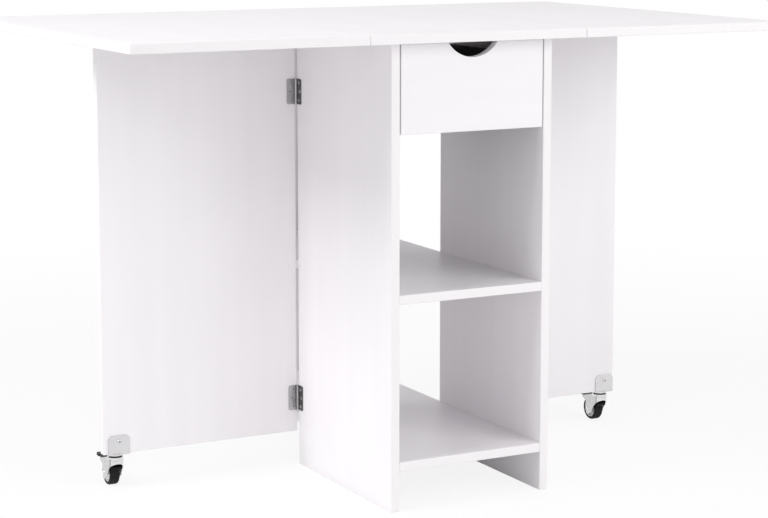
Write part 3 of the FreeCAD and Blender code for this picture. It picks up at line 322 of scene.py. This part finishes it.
def drawer_foil(name, colour):
    """Dark grey foil with the crossed threads of a linen emboss."""
    look = new_finish(name)
    point = look.point()
    warp = look.noise(look.stretched(point, (THREADS_ACROSS, THREADS_ACROSS, THREADS_ALONG)), detail=2.0)
    weft = look.noise(look.stretched(point, (THREADS_ALONG, THREADS_ALONG, THREADS_ACROSS)), detail=2.0)
    cloud = look.noise(point, scale=FOIL_CLOUDS)
    weave = warp.most(weft)
    paler = (*(FOIL_CONTRAST * part for part in colour[:3]), 1.0)
    return look.surface(
        Base_Color=look.blend((weave * 0.7 + cloud * 0.3).ramp(0.35, 0.7), colour, paler),
        Roughness=weave.ramp(0.35, 0.7, low=0.62, high=0.5),
        Normal=look.bump(weave, LINEN_DEPTH, LINEN_STRENGTH),
        Specular_IOR_Level=FOIL_GLOSS,
    )


def rolled_steel(look, level, roughness):
    """Zinc-plated sheet steel with rolling marks, a faint spangle and handling marks.

    The level may vary over the surface.
    """
    point = look.point()
    rolled = look.noise(look.stretched(point, (ROLLED_ACROSS, ROLLED_ACROSS, ROLLED_ALONG)), detail=2.0)
    spangle = look.node("ShaderNodeTexVoronoi", {}, {"Vector": point, "Scale": SPANGLE}, "Distance")
    cloud = look.noise(point, scale=STEEL_CLOUDS)
    scaled = look.stretched(point, (STEEL_MARKS, STEEL_MARKS, STEEL_MARKS))
    marks = look.noise(scaled, detail=4.0, roughness=0.7)
    tone = cloud * 0.55 + spangle * 0.25 + rolled * 0.2
    colour = look.blend(level * tone.ramp(0.2, 0.75, low=0.86, high=1.1), grey(0.0), METAL_TINT)
    relief = rolled * 0.35 + marks * 0.2
    return look.surface(
        Base_Color=colour,
        Metallic=1.0,
        Roughness=marks.ramp(0.25, 0.8, low=roughness - 0.07, high=roughness + 0.1),
        Normal=look.bump(relief, STEEL_DEPTH, STEEL_STRENGTH, look.rounded(STEEL_EDGE)),
    )


def plain_steel(name, level, roughness):
    return rolled_steel(new_finish(name), level, roughness)


def hinge_steel(name, leaf, barrel, axis, centre):
    """Sheet steel for a hinge plate: the barrel's level on the knuckles round its pin, the leaf's level on
    its flat leaf, and a painted shade line along the bend between them.

    The pin lies along the axis through centre, and mirrored on the table's left.
    """
    look = new_finish(name)
    x, y, z = look.split(look.point())
    folded = (abs(x), y, z)
    first, second = (folded[i] - centre[i] for i in range(3) if i != axis)
    reach = (first * first + second * second) ** 0.5
    flat = reach.ramp(KNUCKLE_REACH, KNUCKLE_REACH + KNUCKLE_BLEND)
    # Painted shade: a dark line along the bend beside the knuckles, where the barrel shades the leaf.
    crease_shade = abs(reach - KNUCKLE_REACH - CREASE_REACH).ramp(CREASE_WIDTH, CREASE_CORE)
    level = (barrel + flat * (leaf - barrel)) * (1.0 - crease_shade * CREASE_SHADE_DARKNESS)
    return rolled_steel(look, level, HINGE_ROUGHNESS)


def bright_plating(name, level, roughness, shade=None):
    """Bright nickel plating over pressed steel, faintly rippled and lightly marked.

    shade, where given, makes a painted shade from the three parts of the place.
    """
    look = new_finish(name)
    point = look.point()
    ripple = look.noise(point, scale=PLATING_RIPPLE, detail=2.0)
    cloud = look.noise(point, scale=PLATING_CLOUDS)
    marks = look.noise(look.stretched(point, (MARKS_LEVEL, MARKS_LEVEL, MARKS_UPRIGHT)), roughness=0.7)
    tone = cloud.ramp(0.3, 0.75, low=0.92, high=1.0)
    if shade:
        tone = tone * (1.0 - shade(*look.split(point)))
    relief = ripple * 0.7 + marks * 0.1
    return look.surface(
        Base_Color=look.blend(tone * level, grey(0.0), METAL_TINT),
        Metallic=1.0,
        Roughness=marks.ramp(0.35, 0.8, low=roughness, high=roughness + 0.12),
        Normal=look.bump(relief, PLATING_DEPTH, PLATING_STRENGTH, look.rounded(PLATING_EDGE)),
    )


def moulded_plastic(name, colour, roughness, gloss=0.5):
    """Moulded nylon with a fine spark-eroded texture and faint flow marks."""
    look = new_finish(name)
    point = look.point()
    grain = look.noise(point, scale=SPARK_GRAIN, detail=2.0)
    flow = look.noise(look.stretched(point, (FLOW_ALONG, FLOW_ACROSS, FLOW_ALONG)), distortion=0.6)
    paler = tuple(min(1.0, part * 1.25 + 0.002) for part in colour[:3])
    relief = grain + flow * 0.4
    return look.surface(
        Base_Color=look.blend(flow.ramp(0.35, 0.75), colour, (*paler, 1.0)),
        Roughness=grain.ramp(0.3, 0.7, low=roughness - 0.05, high=roughness + 0.08),
        Normal=look.bump(relief, PLASTIC_DEPTH, PLASTIC_STRENGTH, look.rounded(PLASTIC_EDGE)),
        Specular_IOR_Level=gloss,
    )


def tyre_rubber(name, middle, half_width):
    """Black rubber, dulled where it rolls on the floor."""
    look = new_finish(name)
    point = look.point()
    across = abs(look.split(point)[0] - middle)
    grain = look.noise(point, scale=RUBBER_GRAIN, roughness=0.6)
    dust = look.noise(look.stretched(point, (DUST_ACROSS, DUST_ROUND, DUST_ROUND)))
    marked_band = across.ramp(half_width * WORN_SHARE, half_width * WORN_CORE)
    rolled = marked_band * dust.ramp(0.3, 0.75)
    return look.surface(
        Base_Color=look.blend(rolled * 0.5, RUBBER_BLACK, RUBBER_DUSTY),
        Roughness=rolled * 0.2 + grain.ramp(0.3, 0.7, low=0.52, high=0.66),
        Normal=look.bump(grain, RUBBER_DEPTH, RUBBER_STRENGTH, look.rounded(RUBBER_EDGE)),
        Specular_IOR_Level=RUBBER_GLOSS,
    )


def beech(name):
    """Bare beech with short flecks along the dowel."""
    look = new_finish(name)
    point = look.point()
    rings = look.noise(look.stretched(point, (RINGS_ACROSS, RINGS_ALONG, RINGS_ACROSS)))
    flecks = look.noise(look.stretched(point, (FLECKS_ACROSS, FLECKS_ALONG, FLECKS_ACROSS)), detail=2.0)
    colour = look.blend(rings.ramp(0.3, 0.7), BEECH_DARK, BEECH_PALE)
    return look.surface(
        Base_Color=look.blend(flecks.ramp(0.6, 0.75) * 0.5, colour, BEECH_FLECK),
        Roughness=flecks.ramp(0.2, 0.8, low=0.5, high=0.65),
        Normal=look.bump(rings + flecks, BEECH_DEPTH, BEECH_STRENGTH),
    )


def dress(node, material):
    """Gives a CAD node its finish."""
    for slot in NODES[node].material_slots:
        slot.material = material


def nodes_in(slot):
    return [node for node, name in SLOTS.items() if name == slot]


def dress_all(slot, material):
    """Gives every CAD node of a material slot the same finish."""
    for node in nodes_in(slot):
        dress(node, material)


# Mesh helpers

SHARP_ANGLE = math.radians(35.0)
TURN_STEPS = 36
PUNCH_MOUTH = 0.4 * MM
PUNCH_TAPER = 0.45
FIRST_TURN, NEXT_TURN = 20.0, 67.0


def solids_of(node):
    """The separate solids of a CAD node, each as an array of its points."""
    mesh = NODES[node].data
    welded = {}
    index = []
    points = []
    for vertex in mesh.vertices:
        key = tuple(round(part, 6) for part in vertex.co)
        if key not in welded:
            welded[key] = len(points)
            points.append(vertex.co[:])
        index.append(welded[key])
    group = list(range(len(points)))

    def root(i):
        while group[i] != i:
            group[i] = group[group[i]]
            i = group[i]
        return i

    for edge in mesh.edges:
        first, second = (root(index[i]) for i in edge.vertices)
        group[first] = second
    members = {}
    for i, place in enumerate(points):
        members.setdefault(root(i), []).append(place)
    return [np.array(places) for places in members.values()]


def new_piece(name, form, node, *materials):
    """Makes a mesh object that rides where the CAD node does and stands in for it."""
    mesh = bpy.data.meshes.new(name)
    form.to_mesh(mesh)
    form.free()
    piece = bpy.data.objects.new(name, mesh)
    bpy.context.scene.collection.objects.link(piece)
    for material in materials:
        mesh.materials.append(material)
    mesh.set_sharp_from_angle(angle=SHARP_ANGLE)
    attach(piece, BODY_OF[node])
    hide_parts(node)


def turned(profile):
    """Turns a profile of radii and heights round the Z axis into a closed form.

    The profile starts and ends on the axis.
    """
    form = bmesh.new()
    angles = [2 * math.pi * i / TURN_STEPS for i in range(TURN_STEPS)]
    rings = []
    for radius, height in profile:
        sides = angles if radius else angles[:1]
        places = [(radius * math.cos(angle), radius * math.sin(angle), height) for angle in sides]
        rings.append([form.verts.new(place) for place in places])
    for lower, upper in zip(rings, rings[1:]):
        for i in range(TURN_STEPS):
            corners = [lower[i % len(lower)], lower[(i + 1) % len(lower)]]
            corners += [upper[(i + 1) % len(upper)], upper[i % len(upper)]]
            form.faces.new(dict.fromkeys(corners))
    bmesh.ops.recalc_face_normals(form, faces=form.faces)
    for face in form.faces:
        face.smooth = True
    return form


def cross_punch(reach, arm, depth):
    """The tapered cross that a screw head is punched with. Its mouth stands a little above the head."""
    form = bmesh.new()
    rings = []
    for height, width in ((PUNCH_MOUTH, 1.0), (-depth, PUNCH_TAPER)):
        corners = [(reach, -arm), (reach, arm), (arm, arm)]
        turns = [Matrix.Rotation(math.pi / 2 * turn, 2) for turn in range(4)]
        outline = [turn @ Vector(corner) * width for turn in turns for corner in corners]
        rings.append([form.verts.new((place.x, place.y, height)) for place in outline])
    mouth, foot = rings
    form.faces.new(mouth)
    form.faces.new(foot)
    for i in range(len(mouth)):
        j = (i + 1) % len(mouth)
        form.faces.new((mouth[i], mouth[j], foot[j], foot[i]))
    bmesh.ops.recalc_face_normals(form, faces=form.faces)
    for face in form.faces:
        face.material_index = 1
    return form


def punched(form, punch):
    """A mesh of one form with another cut out of it. What the cut bares keeps the punch's material."""
    things = []
    for source in (form, punch):
        mesh = bpy.data.meshes.new("blank")
        source.to_mesh(mesh)
        source.free()
        things.append(bpy.data.objects.new("blank", mesh))
        bpy.context.scene.collection.objects.link(things[-1])
        mesh.materials.append(None)
        mesh.materials.append(None)
    cut = things[0].modifiers.new("cut", "BOOLEAN")
    cut.operation = "DIFFERENCE"
    cut.solver = "EXACT"
    cut.object = things[1]
    evaluated = things[0].evaluated_get(bpy.context.evaluated_depsgraph_get())
    result = bpy.data.meshes.new_from_object(evaluated)
    for thing in things:
        bpy.data.meshes.remove(thing.data)
    return result


def screw_seats(node):
    """Where each screw of a CAD node sits: its head's middle, the way out of the wood, and its length."""
    seats = []
    for points in solids_of(node):
        low, high = points.min(axis=0), points.max(axis=0)
        axis = int((high - low).argmax())
        length = float(high[axis] - low[axis])
        middle = (low + high) / 2
        across = np.linalg.norm(np.delete(points - middle, axis, axis=1), axis=1)
        upper = points[:, axis] > middle[axis]
        out = 1.0 if across[upper].max() > across[~upper].max() else -1.0
        way = Vector([out if i == axis else 0.0 for i in range(3)])
        seats.append((Vector(middle) + way * length / 2, way, length))
    return seats


class ScrewForm(NamedTuple):
    """The form of a screw, in mm.

    head is the head's profile, as radii and heights. Roots and crests take turns down from start, one pitch
    apart. plain is the part of the length that has no thread, and cross is the recess's reach, arm and depth.
    """

    head: list
    root: float
    crest: float
    start: float
    pitch: float
    plain: float
    cross: tuple


WOOD_SCREW = ScrewForm(
    head=[(0.0, 0.1), (1.4, 0.08), (2.2, 0.02), (2.6, -0.06), (2.72, -0.14), (1.5, -0.95)],
    root=1.15,
    crest=1.5,
    start=-1.4,
    pitch=0.55,
    plain=4.0,
    cross=(1.75, 0.36, 1.1),
)
PAN_SCREW = ScrewForm(
    head=[
        (0.0, 0.0),
        (1.7, -0.03),
        (2.6, -0.16),
        (3.3, -0.5),
        (3.75, -1.0),
        (3.96, -1.6),
        (4.0, -2.2),
        (2.0, -2.2),
    ],
    root=1.5,
    crest=2.0,
    start=-2.6,
    pitch=0.7,
    plain=5.0,
    cross=(2.2, 0.45, 1.5),
)


def screw_profile(screw, length):
    """Profile of a screw, in metres, from the middle of its head to its point."""
    steps = round((length / MM - screw.plain) / screw.pitch)
    thread = [(screw.crest if i % 2 else screw.root, screw.start - screw.pitch * i) for i in range(steps)]
    return [(radius * MM, height * MM) for radius, height in screw.head + thread] + [(0.0, -length)]


def cross_screws(node, screw, material, recess):
    """Stands cross-head screws in for a CAD node's screws, each turned its own way."""
    seats = screw_seats(node)
    _, _, length = seats[0]
    punch = cross_punch(*(part * MM for part in screw.cross))
    template = punched(turned(screw_profile(screw, length)), punch)
    form = bmesh.new()
    for number, (place, way, _) in enumerate(seats):
        before = len(form.verts)
        form.from_mesh(template)
        form.verts.ensure_lookup_table()
        turn = Matrix.Rotation(math.radians(FIRST_TURN + NEXT_TURN * number), 4, "Z")
        set_in = Matrix.Translation(place) @ way.to_track_quat("Z", "Y").to_matrix().to_4x4() @ turn
        bmesh.ops.transform(form, matrix=set_in, verts=form.verts[before:])
    bpy.data.meshes.remove(template)
    new_piece(f"{node}_cross_head", form, node, material, recess)


# A rivet head's dome: shares of its radius, and of its thickness below its top
RIVET_DOME = [(0.0, 0.25), (0.22, 0.2), (0.3, 0.02), (0.55, 0.08), (0.8, 0.3), (0.95, 0.6), (1.0, 1.0)]


def rivet(node, head, shank, thickness, material):
    """Stands a pin with two domed heads in for a CAD node's pin, which lies along X."""
    low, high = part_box(node)
    half = (high.x - low.x) / 2
    one_end = [(head * radius, half - thickness * drop) for radius, drop in RIVET_DOME]
    one_end.append((shank, half - thickness))
    form = turned(one_end + [(radius, -height) for radius, height in reversed(one_end)])
    lie = Matrix.Translation((low + high) / 2) @ Matrix.Rotation(math.pi / 2, 4, "Y")
    bmesh.ops.transform(form, matrix=lie, verts=form.verts)
    new_piece(f"{node}_rivet", form, node, material)


# Studio

CEILING_SHADE = 0.4
REAR_SHADE = 0.34
FLOOR_GREY = grey(0.93)
FLOOR_FADE_START, FLOOR_FADE_END = 0.9, 2.6
FLOOR_PLAIN = 0.86
LAMP_TARGET = (0.0, 0.0, 0.45)
LEFT_LAMP, LEFT_LAMP_SIDE = (-2.83, -0.25, 2.67), 1.4
FRONT_LAMP, FRONT_LAMP_SIDE = (1.5, -2.75, 1.97), 2.0
SENSOR_WIDTH = 36.0
VIEW_DEPTH = 200.0


class StudioSettings(bpy.types.PropertyGroup):
    lens: bpy.props.FloatProperty(
        name="Lens",
        description="Focal length of the camera in mm",
        default=100.44,
    )
    eye: bpy.props.FloatVectorProperty(
        name="Eye",
        description="Where the camera stands",
        subtype="TRANSLATION",
        default=(-1.7007, -3.2555, 0.9768),
    )
    heading: bpy.props.FloatProperty(
        name="Heading",
        description="Turn of the camera from +Y",
        subtype="ANGLE",
        default=math.radians(27.943),
    )
    tilt: bpy.props.FloatProperty(
        name="Tilt",
        description="How far the camera looks down",
        subtype="ANGLE",
        default=math.radians(8.339),
    )
    shift: bpy.props.FloatProperty(
        name="Shift",
        description="Vertical lens shift",
        default=-0.07,
    )
    sky: bpy.props.FloatProperty(
        name="Sky",
        description="Strength of the even light",
        default=0.86,
    )
    key: bpy.props.FloatProperty(
        name="Key",
        description="Power of the left lamp",
        subtype="POWER",
        default=60.0,
    )
    fill: bpy.props.FloatProperty(
        name="Fill",
        description="Power of the front lamp",
        subtype="POWER",
        default=36.0,
    )
    floor_size: bpy.props.FloatProperty(
        name="Floor Size",
        description="Length of the floor's side",
        subtype="DISTANCE",
        default=80.0,
    )


def seen_directly(look):
    """1 for what the camera sees directly, in a reflection or through glass, and 0 for light."""
    path = look.node("ShaderNodeLightPath").socket.node
    kinds = ("Is Camera Ray", "Is Glossy Ray", "Is Transmission Ray")
    camera, glossy, through = [Wire(look, path.outputs[kind]) for kind in kinds]
    return (camera + glossy + through).least(1.0)


def studio_world(sky):
    """Soft light, weaker from overhead and from behind, in front of a plain white background."""
    look = Finish(bpy.context.scene.world or bpy.data.worlds.new("studio"))
    bpy.context.scene.world = look.owner
    _, back, up = look.split(look.node("ShaderNodeTexCoord", output="Generated"))
    light = sky * (1.0 - CEILING_SHADE * up.most(0.0) - REAR_SHADE * back.most(0.0))
    seen = seen_directly(look)
    strength = light * (1.0 - seen) + seen
    lit = look.node("ShaderNodeBackground", {}, {"Color": grey(1.0), "Strength": strength})
    look.node("ShaderNodeOutputWorld", {}, {"Surface": lit})


def studio_floor(size):
    """A pale floor that fades to plain white away from the table and keeps its soft shadow."""
    form = bmesh.new()
    bmesh.ops.create_grid(form, x_segments=1, y_segments=1, size=size / 2)
    mesh = bpy.data.meshes.new("studio_floor")
    form.to_mesh(mesh)
    form.free()
    floor = bpy.data.objects.new("studio_floor", mesh)
    bpy.context.scene.collection.objects.link(floor)
    look = new_finish("studio_floor")
    away = look.node("ShaderNodeVectorMath", {"operation": "LENGTH"}, {0: look.point()}, "Value")
    fade = away.ramp(FLOOR_FADE_START, FLOOR_FADE_END, low=FLOOR_PLAIN, high=1.0)
    plain = seen_directly(look) * fade
    paint = look.node("ShaderNodeBsdfDiffuse", {}, {"Color": FLOOR_GREY})
    glow = look.node("ShaderNodeEmission", {}, {"Color": grey(1.0), "Strength": 1.0})
    mixed = look.node("ShaderNodeMixShader", {}, {0: plain, 1: paint, 2: glow})
    look.node("ShaderNodeOutputMaterial", {}, {"Surface": mixed})
    mesh.materials.append(look.owner)


def soft_lamp(name, place, power, side, mirrored):
    """A square lamp aimed at the table. Its image shows in shiny surfaces only where it is mirrored."""
    lamp = bpy.data.lights.new(name, "AREA")
    lamp.shape = "SQUARE"
    lamp.size = side
    lamp.energy = power
    thing = bpy.data.objects.new(name, lamp)
    thing.location = place
    thing.rotation_euler = (Vector(LAMP_TARGET) - thing.location).to_track_quat("-Z", "Y").to_euler()
    thing.visible_glossy = mirrored
    bpy.context.scene.collection.objects.link(thing)


class TABLE_OT_stage(bpy.types.Operator):
    """Sets up the floor, the even light, the lamps and the camera"""

    bl_idname = "table.stage"
    bl_label = "Stage"

    def execute(self, context):
        settings = context.scene.table_studio
        studio_world(settings.sky)
        studio_floor(settings.floor_size)
        soft_lamp("left_lamp", LEFT_LAMP, settings.key, LEFT_LAMP_SIDE, True)
        soft_lamp("front_lamp", FRONT_LAMP, settings.fill, FRONT_LAMP_SIDE, False)
        camera = bpy.data.cameras.new("camera")
        camera.lens = settings.lens
        camera.shift_y = settings.shift
        camera.sensor_width = SENSOR_WIDTH
        camera.clip_end = VIEW_DEPTH
        stand = bpy.data.objects.new("camera", camera)
        stand.location = settings.eye
        stand.rotation_euler = (math.pi / 2 - settings.tilt, 0.0, -settings.heading)
        context.scene.collection.objects.link(stand)
        context.scene.camera = stand
        context.scene.view_settings.view_transform = "Standard"
        return {"FINISHED"}


# Finishes on the CAD nodes

Y_AXIS, Z_AXIS = 1, 2
TALL_BOARD = 0.2
LEG_PIN = (148.2 * MM, -12.7 * MM, 0.0)
LEAF_PIN = (195.25 * MM, 0.0, 742.8 * MM)
SIDES = (("right", 1.0), ("left", -1.0))
KINGPIN_X = 478.5 * MM
# Where the painted shade on a caster fork lies and how dark it is: on its side cheeks, along its pressed
# bends and along the bead round its skirt
CHEEK_START, CHEEK_FULL = 11.0 * MM, 12.2 * MM
CHEEK_TOP, CHEEK_FOOT = 50.0 * MM, 44.0 * MM
BEND_X, BEND_REACH, BEND_CORE = 11.4 * MM, 1.0 * MM, 0.2 * MM
BEND_TOP, BEND_FOOT = 51.5 * MM, 50.0 * MM
BEAD_Z, BEAD_REACH, BEAD_CORE = 47.2 * MM, 0.55 * MM, 0.1 * MM
CHEEK_SHADE, BEND_SHADE, BEAD_SHADE = 0.16, 0.4, 0.3
DEEPEST_SHADE = 0.6
AXLE_RIVET = (4.0 * MM, 3.0 * MM, 1.2 * MM)
BRAKE_RIVET = (2.6 * MM, 1.5 * MM, 0.6 * MM)


class FinishSettings(bpy.types.PropertyGroup):
    board: bpy.props.FloatVectorProperty(
        name="Board",
        description="White of the melamine",
        subtype="COLOR",
        default=(0.9, 0.878, 0.9),
    )
    foil: bpy.props.FloatProperty(
        name="Foil",
        description="Lightness of the drawer box's foil",
        default=0.045,
    )
    leg_plate: bpy.props.FloatProperty(
        name="Leg Plate",
        description="Lightness of the legs' hinge plates",
        default=0.46,
    )
    # The cabinet's hinge plates are the same steel as the legs' plates, but painted much darker: a painted
    # shade and reflection of the corner they face.
    cabinet_plate_shade: bpy.props.FloatProperty(
        name="Panel Plate",
        description="Lightness of the cabinet's hinge plates",
        default=0.15,
    )
    barrel: bpy.props.FloatProperty(
        name="Barrel",
        description="Lightness of the hinge knuckles",
        default=0.48,
    )
    plating: bpy.props.FloatProperty(
        name="Plating",
        description="Lightness of the bright plating",
        default=0.8,
    )
    bracket: bpy.props.FloatProperty(
        name="Bracket",
        description="Lightness of the caster brackets",
        default=0.74,
    )


class TABLE_OT_boards(bpy.types.Operator):
    """Finishes the boards in white melamine and the drawer's box in foil"""

    bl_idname = "table.boards"
    bl_label = "Boards"

    def execute(self, context):
        colour = (*context.scene.table_finish.board, 1.0)
        dress_all("drawer_box", drawer_foil("drawer_foil", grey(context.scene.table_finish.foil)))
        for node in nodes_in("board"):
            low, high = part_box(node)
            spans = [high[i] - low[i] for i in range(3)]
            grain = Z_AXIS if spans[Z_AXIS] > TALL_BOARD else spans.index(max(spans))
            dress(node, melamine(f"melamine_{node}", low, high, colour, grain))
        return {"FINISHED"}


class TABLE_OT_hinges(bpy.types.Operator):
    """Finishes the plates and the pins of the leg and leaf hinges"""

    bl_idname = "table.hinges"
    bl_label = "Hinges"

    def execute(self, context):
        settings = context.scene.table_finish
        leaf, panel, barrel = settings.leg_plate, settings.cabinet_plate_shade, settings.barrel
        leg_plates = hinge_steel("leg_plate_steel", leaf, barrel, Z_AXIS, LEG_PIN)
        # Painted shade: the cabinet's plates get the same steel at a much darker level.
        shaded_cabinet_plates = hinge_steel("cabinet_plate_painted_shade", panel, barrel, Z_AXIS, LEG_PIN)
        leaf_plates = hinge_steel("leaf_plate_steel", leaf, barrel, Y_AXIS, LEAF_PIN)
        for node in nodes_in("hinge_steel"):
            if node.startswith("leaf"):
                dress(node, leaf_plates)
            else:
                dress(node, leg_plates if "leg" in node else shaded_cabinet_plates)
        for node in nodes_in("bright_steel"):
            if node.endswith("pins"):
                dress(node, plain_steel(f"{node}_steel", barrel, HINGE_PIN_ROUGHNESS))
        return {"FINISHED"}


class TABLE_OT_fasteners(bpy.types.Operator):
    """Makes the cross-head screws and finishes the cam fittings"""

    bl_idname = "table.fasteners"
    bl_label = "Fasteners"

    def execute(self, context):
        settings = context.scene.table_finish
        # Painted shade: the cross recesses get a near-black steel.
        recess = plain_steel("recess_painted_shade", RECESS_SHADE_LEVEL, RECESS_ROUGHNESS)
        dull = plain_steel("dull_screw_steel", settings.leg_plate, DULL_ROUGHNESS)
        bright = plain_steel("bright_screw_steel", settings.plating, BRIGHT_ROUGHNESS)
        satin = plain_steel("satin_screw_steel", settings.bracket, SATIN_ROUGHNESS)
        for node in nodes_in("bright_steel"):
            if "bracket" in node:
                cross_screws(node, PAN_SCREW, satin, recess)
            elif "screws" in node:
                metal = dull if "leg" in node or "leaf" in node else bright
                cross_screws(node, WOOD_SCREW, metal, recess)
            elif not node.endswith("pins"):
                dress(node, bright)
        dress_all("cam_zinc", plain_steel("die_cast_zinc", CAST_LEVEL, CAST_ROUGHNESS))
        return {"FINISHED"}


class TABLE_OT_casters(bpy.types.Operator):
    """Finishes the plated parts of the casters and makes their rivets"""

    bl_idname = "table.casters"
    bl_label = "Casters"

    def execute(self, context):
        settings = context.scene.table_finish
        plate = bright_plating("bracket_plating", settings.bracket, PLATING_ROUGHNESS)
        rivet_steel = bright_plating("rivet_plating", settings.plating, PLATING_ROUGHNESS)
        for side, hand in SIDES:

            # Painted shade on the fork: side cheeks darker than its front, and dark lines along the pressed
            # bends and the bead round the skirt.
            def painted_fork_shade(x, y, z):
                off_middle = abs(x - hand * KINGPIN_X)
                cheek_shade = off_middle.ramp(CHEEK_START, CHEEK_FULL) * z.ramp(CHEEK_TOP, CHEEK_FOOT)
                bend_shade = abs(off_middle - BEND_X).ramp(BEND_REACH, BEND_CORE) * z.ramp(BEND_TOP, BEND_FOOT)
                bead_shade = abs(z - BEAD_Z).ramp(BEAD_REACH, BEAD_CORE)
                shade = cheek_shade * CHEEK_SHADE + bend_shade * BEND_SHADE + bead_shade * BEAD_SHADE
                return shade.least(DEEPEST_SHADE)

            fork_name = f"{side}_fork_plating_and_shade"
            fork = bright_plating(fork_name, settings.plating, FORK_ROUGHNESS, painted_fork_shade)
            dress(f"{side}_caster_bracket", plate)
            dress(f"{side}_kingpin", rivet_steel)
            dress(f"{side}_caster_fork", fork)
            rivet(f"{side}_wheel_axle", *AXLE_RIVET, rivet_steel)
            rivet(f"{side}_brake_pin", *BRAKE_RIVET, rivet_steel)
        return {"FINISHED"}


class TABLE_OT_plastics(bpy.types.Operator):
    """Finishes the rubber, nylon and beech parts"""

    bl_idname = "table.plastics"
    bl_label = "Plastics"

    def execute(self, context):
        black = moulded_plastic("black_nylon", NYLON_BLACK, BLACK_ROUGHNESS, BLACK_GLOSS)
        dress_all("black_plastic", black)
        dress_all("hub_plastic", moulded_plastic("hub_plastic", HUB_WHITE, HUB_ROUGHNESS))
        dress_all("runner", moulded_plastic("white_nylon", NYLON_WHITE, WHITE_ROUGHNESS))
        for node in nodes_in("black_rubber"):
            low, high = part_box(node)
            dress(node, tyre_rubber(f"rubber_{node}", (low.x + high.x) / 2, (high.x - low.x) / 2))
        dress_all("dowel", beech("beech"))
        return {"FINISHED"}


class TABLE_PT_panel(bpy.types.Panel):
    bl_idname = "TABLE_PT_panel"
    bl_label = "Drop-Leaf Table"
    bl_space_type = "VIEW_3D"
    bl_region_type = "UI"
    bl_category = "Table"

    def draw(self, context):
        for settings in (context.scene.table_finish, context.scene.table_studio):
            for name in settings.__annotations__:
                self.layout.prop(settings, name)
        for operator in OPERATORS:
            self.layout.operator(operator.bl_idname)


OPERATORS = (
    TABLE_OT_boards,
    TABLE_OT_hinges,
    TABLE_OT_fasteners,
    TABLE_OT_casters,
    TABLE_OT_plastics,
    TABLE_OT_stage,
)
CLASSES = (StudioSettings, FinishSettings, *OPERATORS, TABLE_PT_panel)


def register():
    for item in CLASSES:
        bpy.utils.register_class(item)
    bpy.types.Scene.table_studio = bpy.props.PointerProperty(type=StudioSettings)
    bpy.types.Scene.table_finish = bpy.props.PointerProperty(type=FinishSettings)


def unregister():
    del bpy.types.Scene.table_finish
    del bpy.types.Scene.table_studio
    for item in reversed(CLASSES):
        bpy.utils.unregister_class(item)


def main():
    register()
    bpy.ops.table.boards()
    bpy.ops.table.hinges()
    bpy.ops.table.fasteners()
    bpy.ops.table.casters()
    bpy.ops.table.plastics()
    bpy.ops.table.stage()


if __name__ == "__main__":
    main()
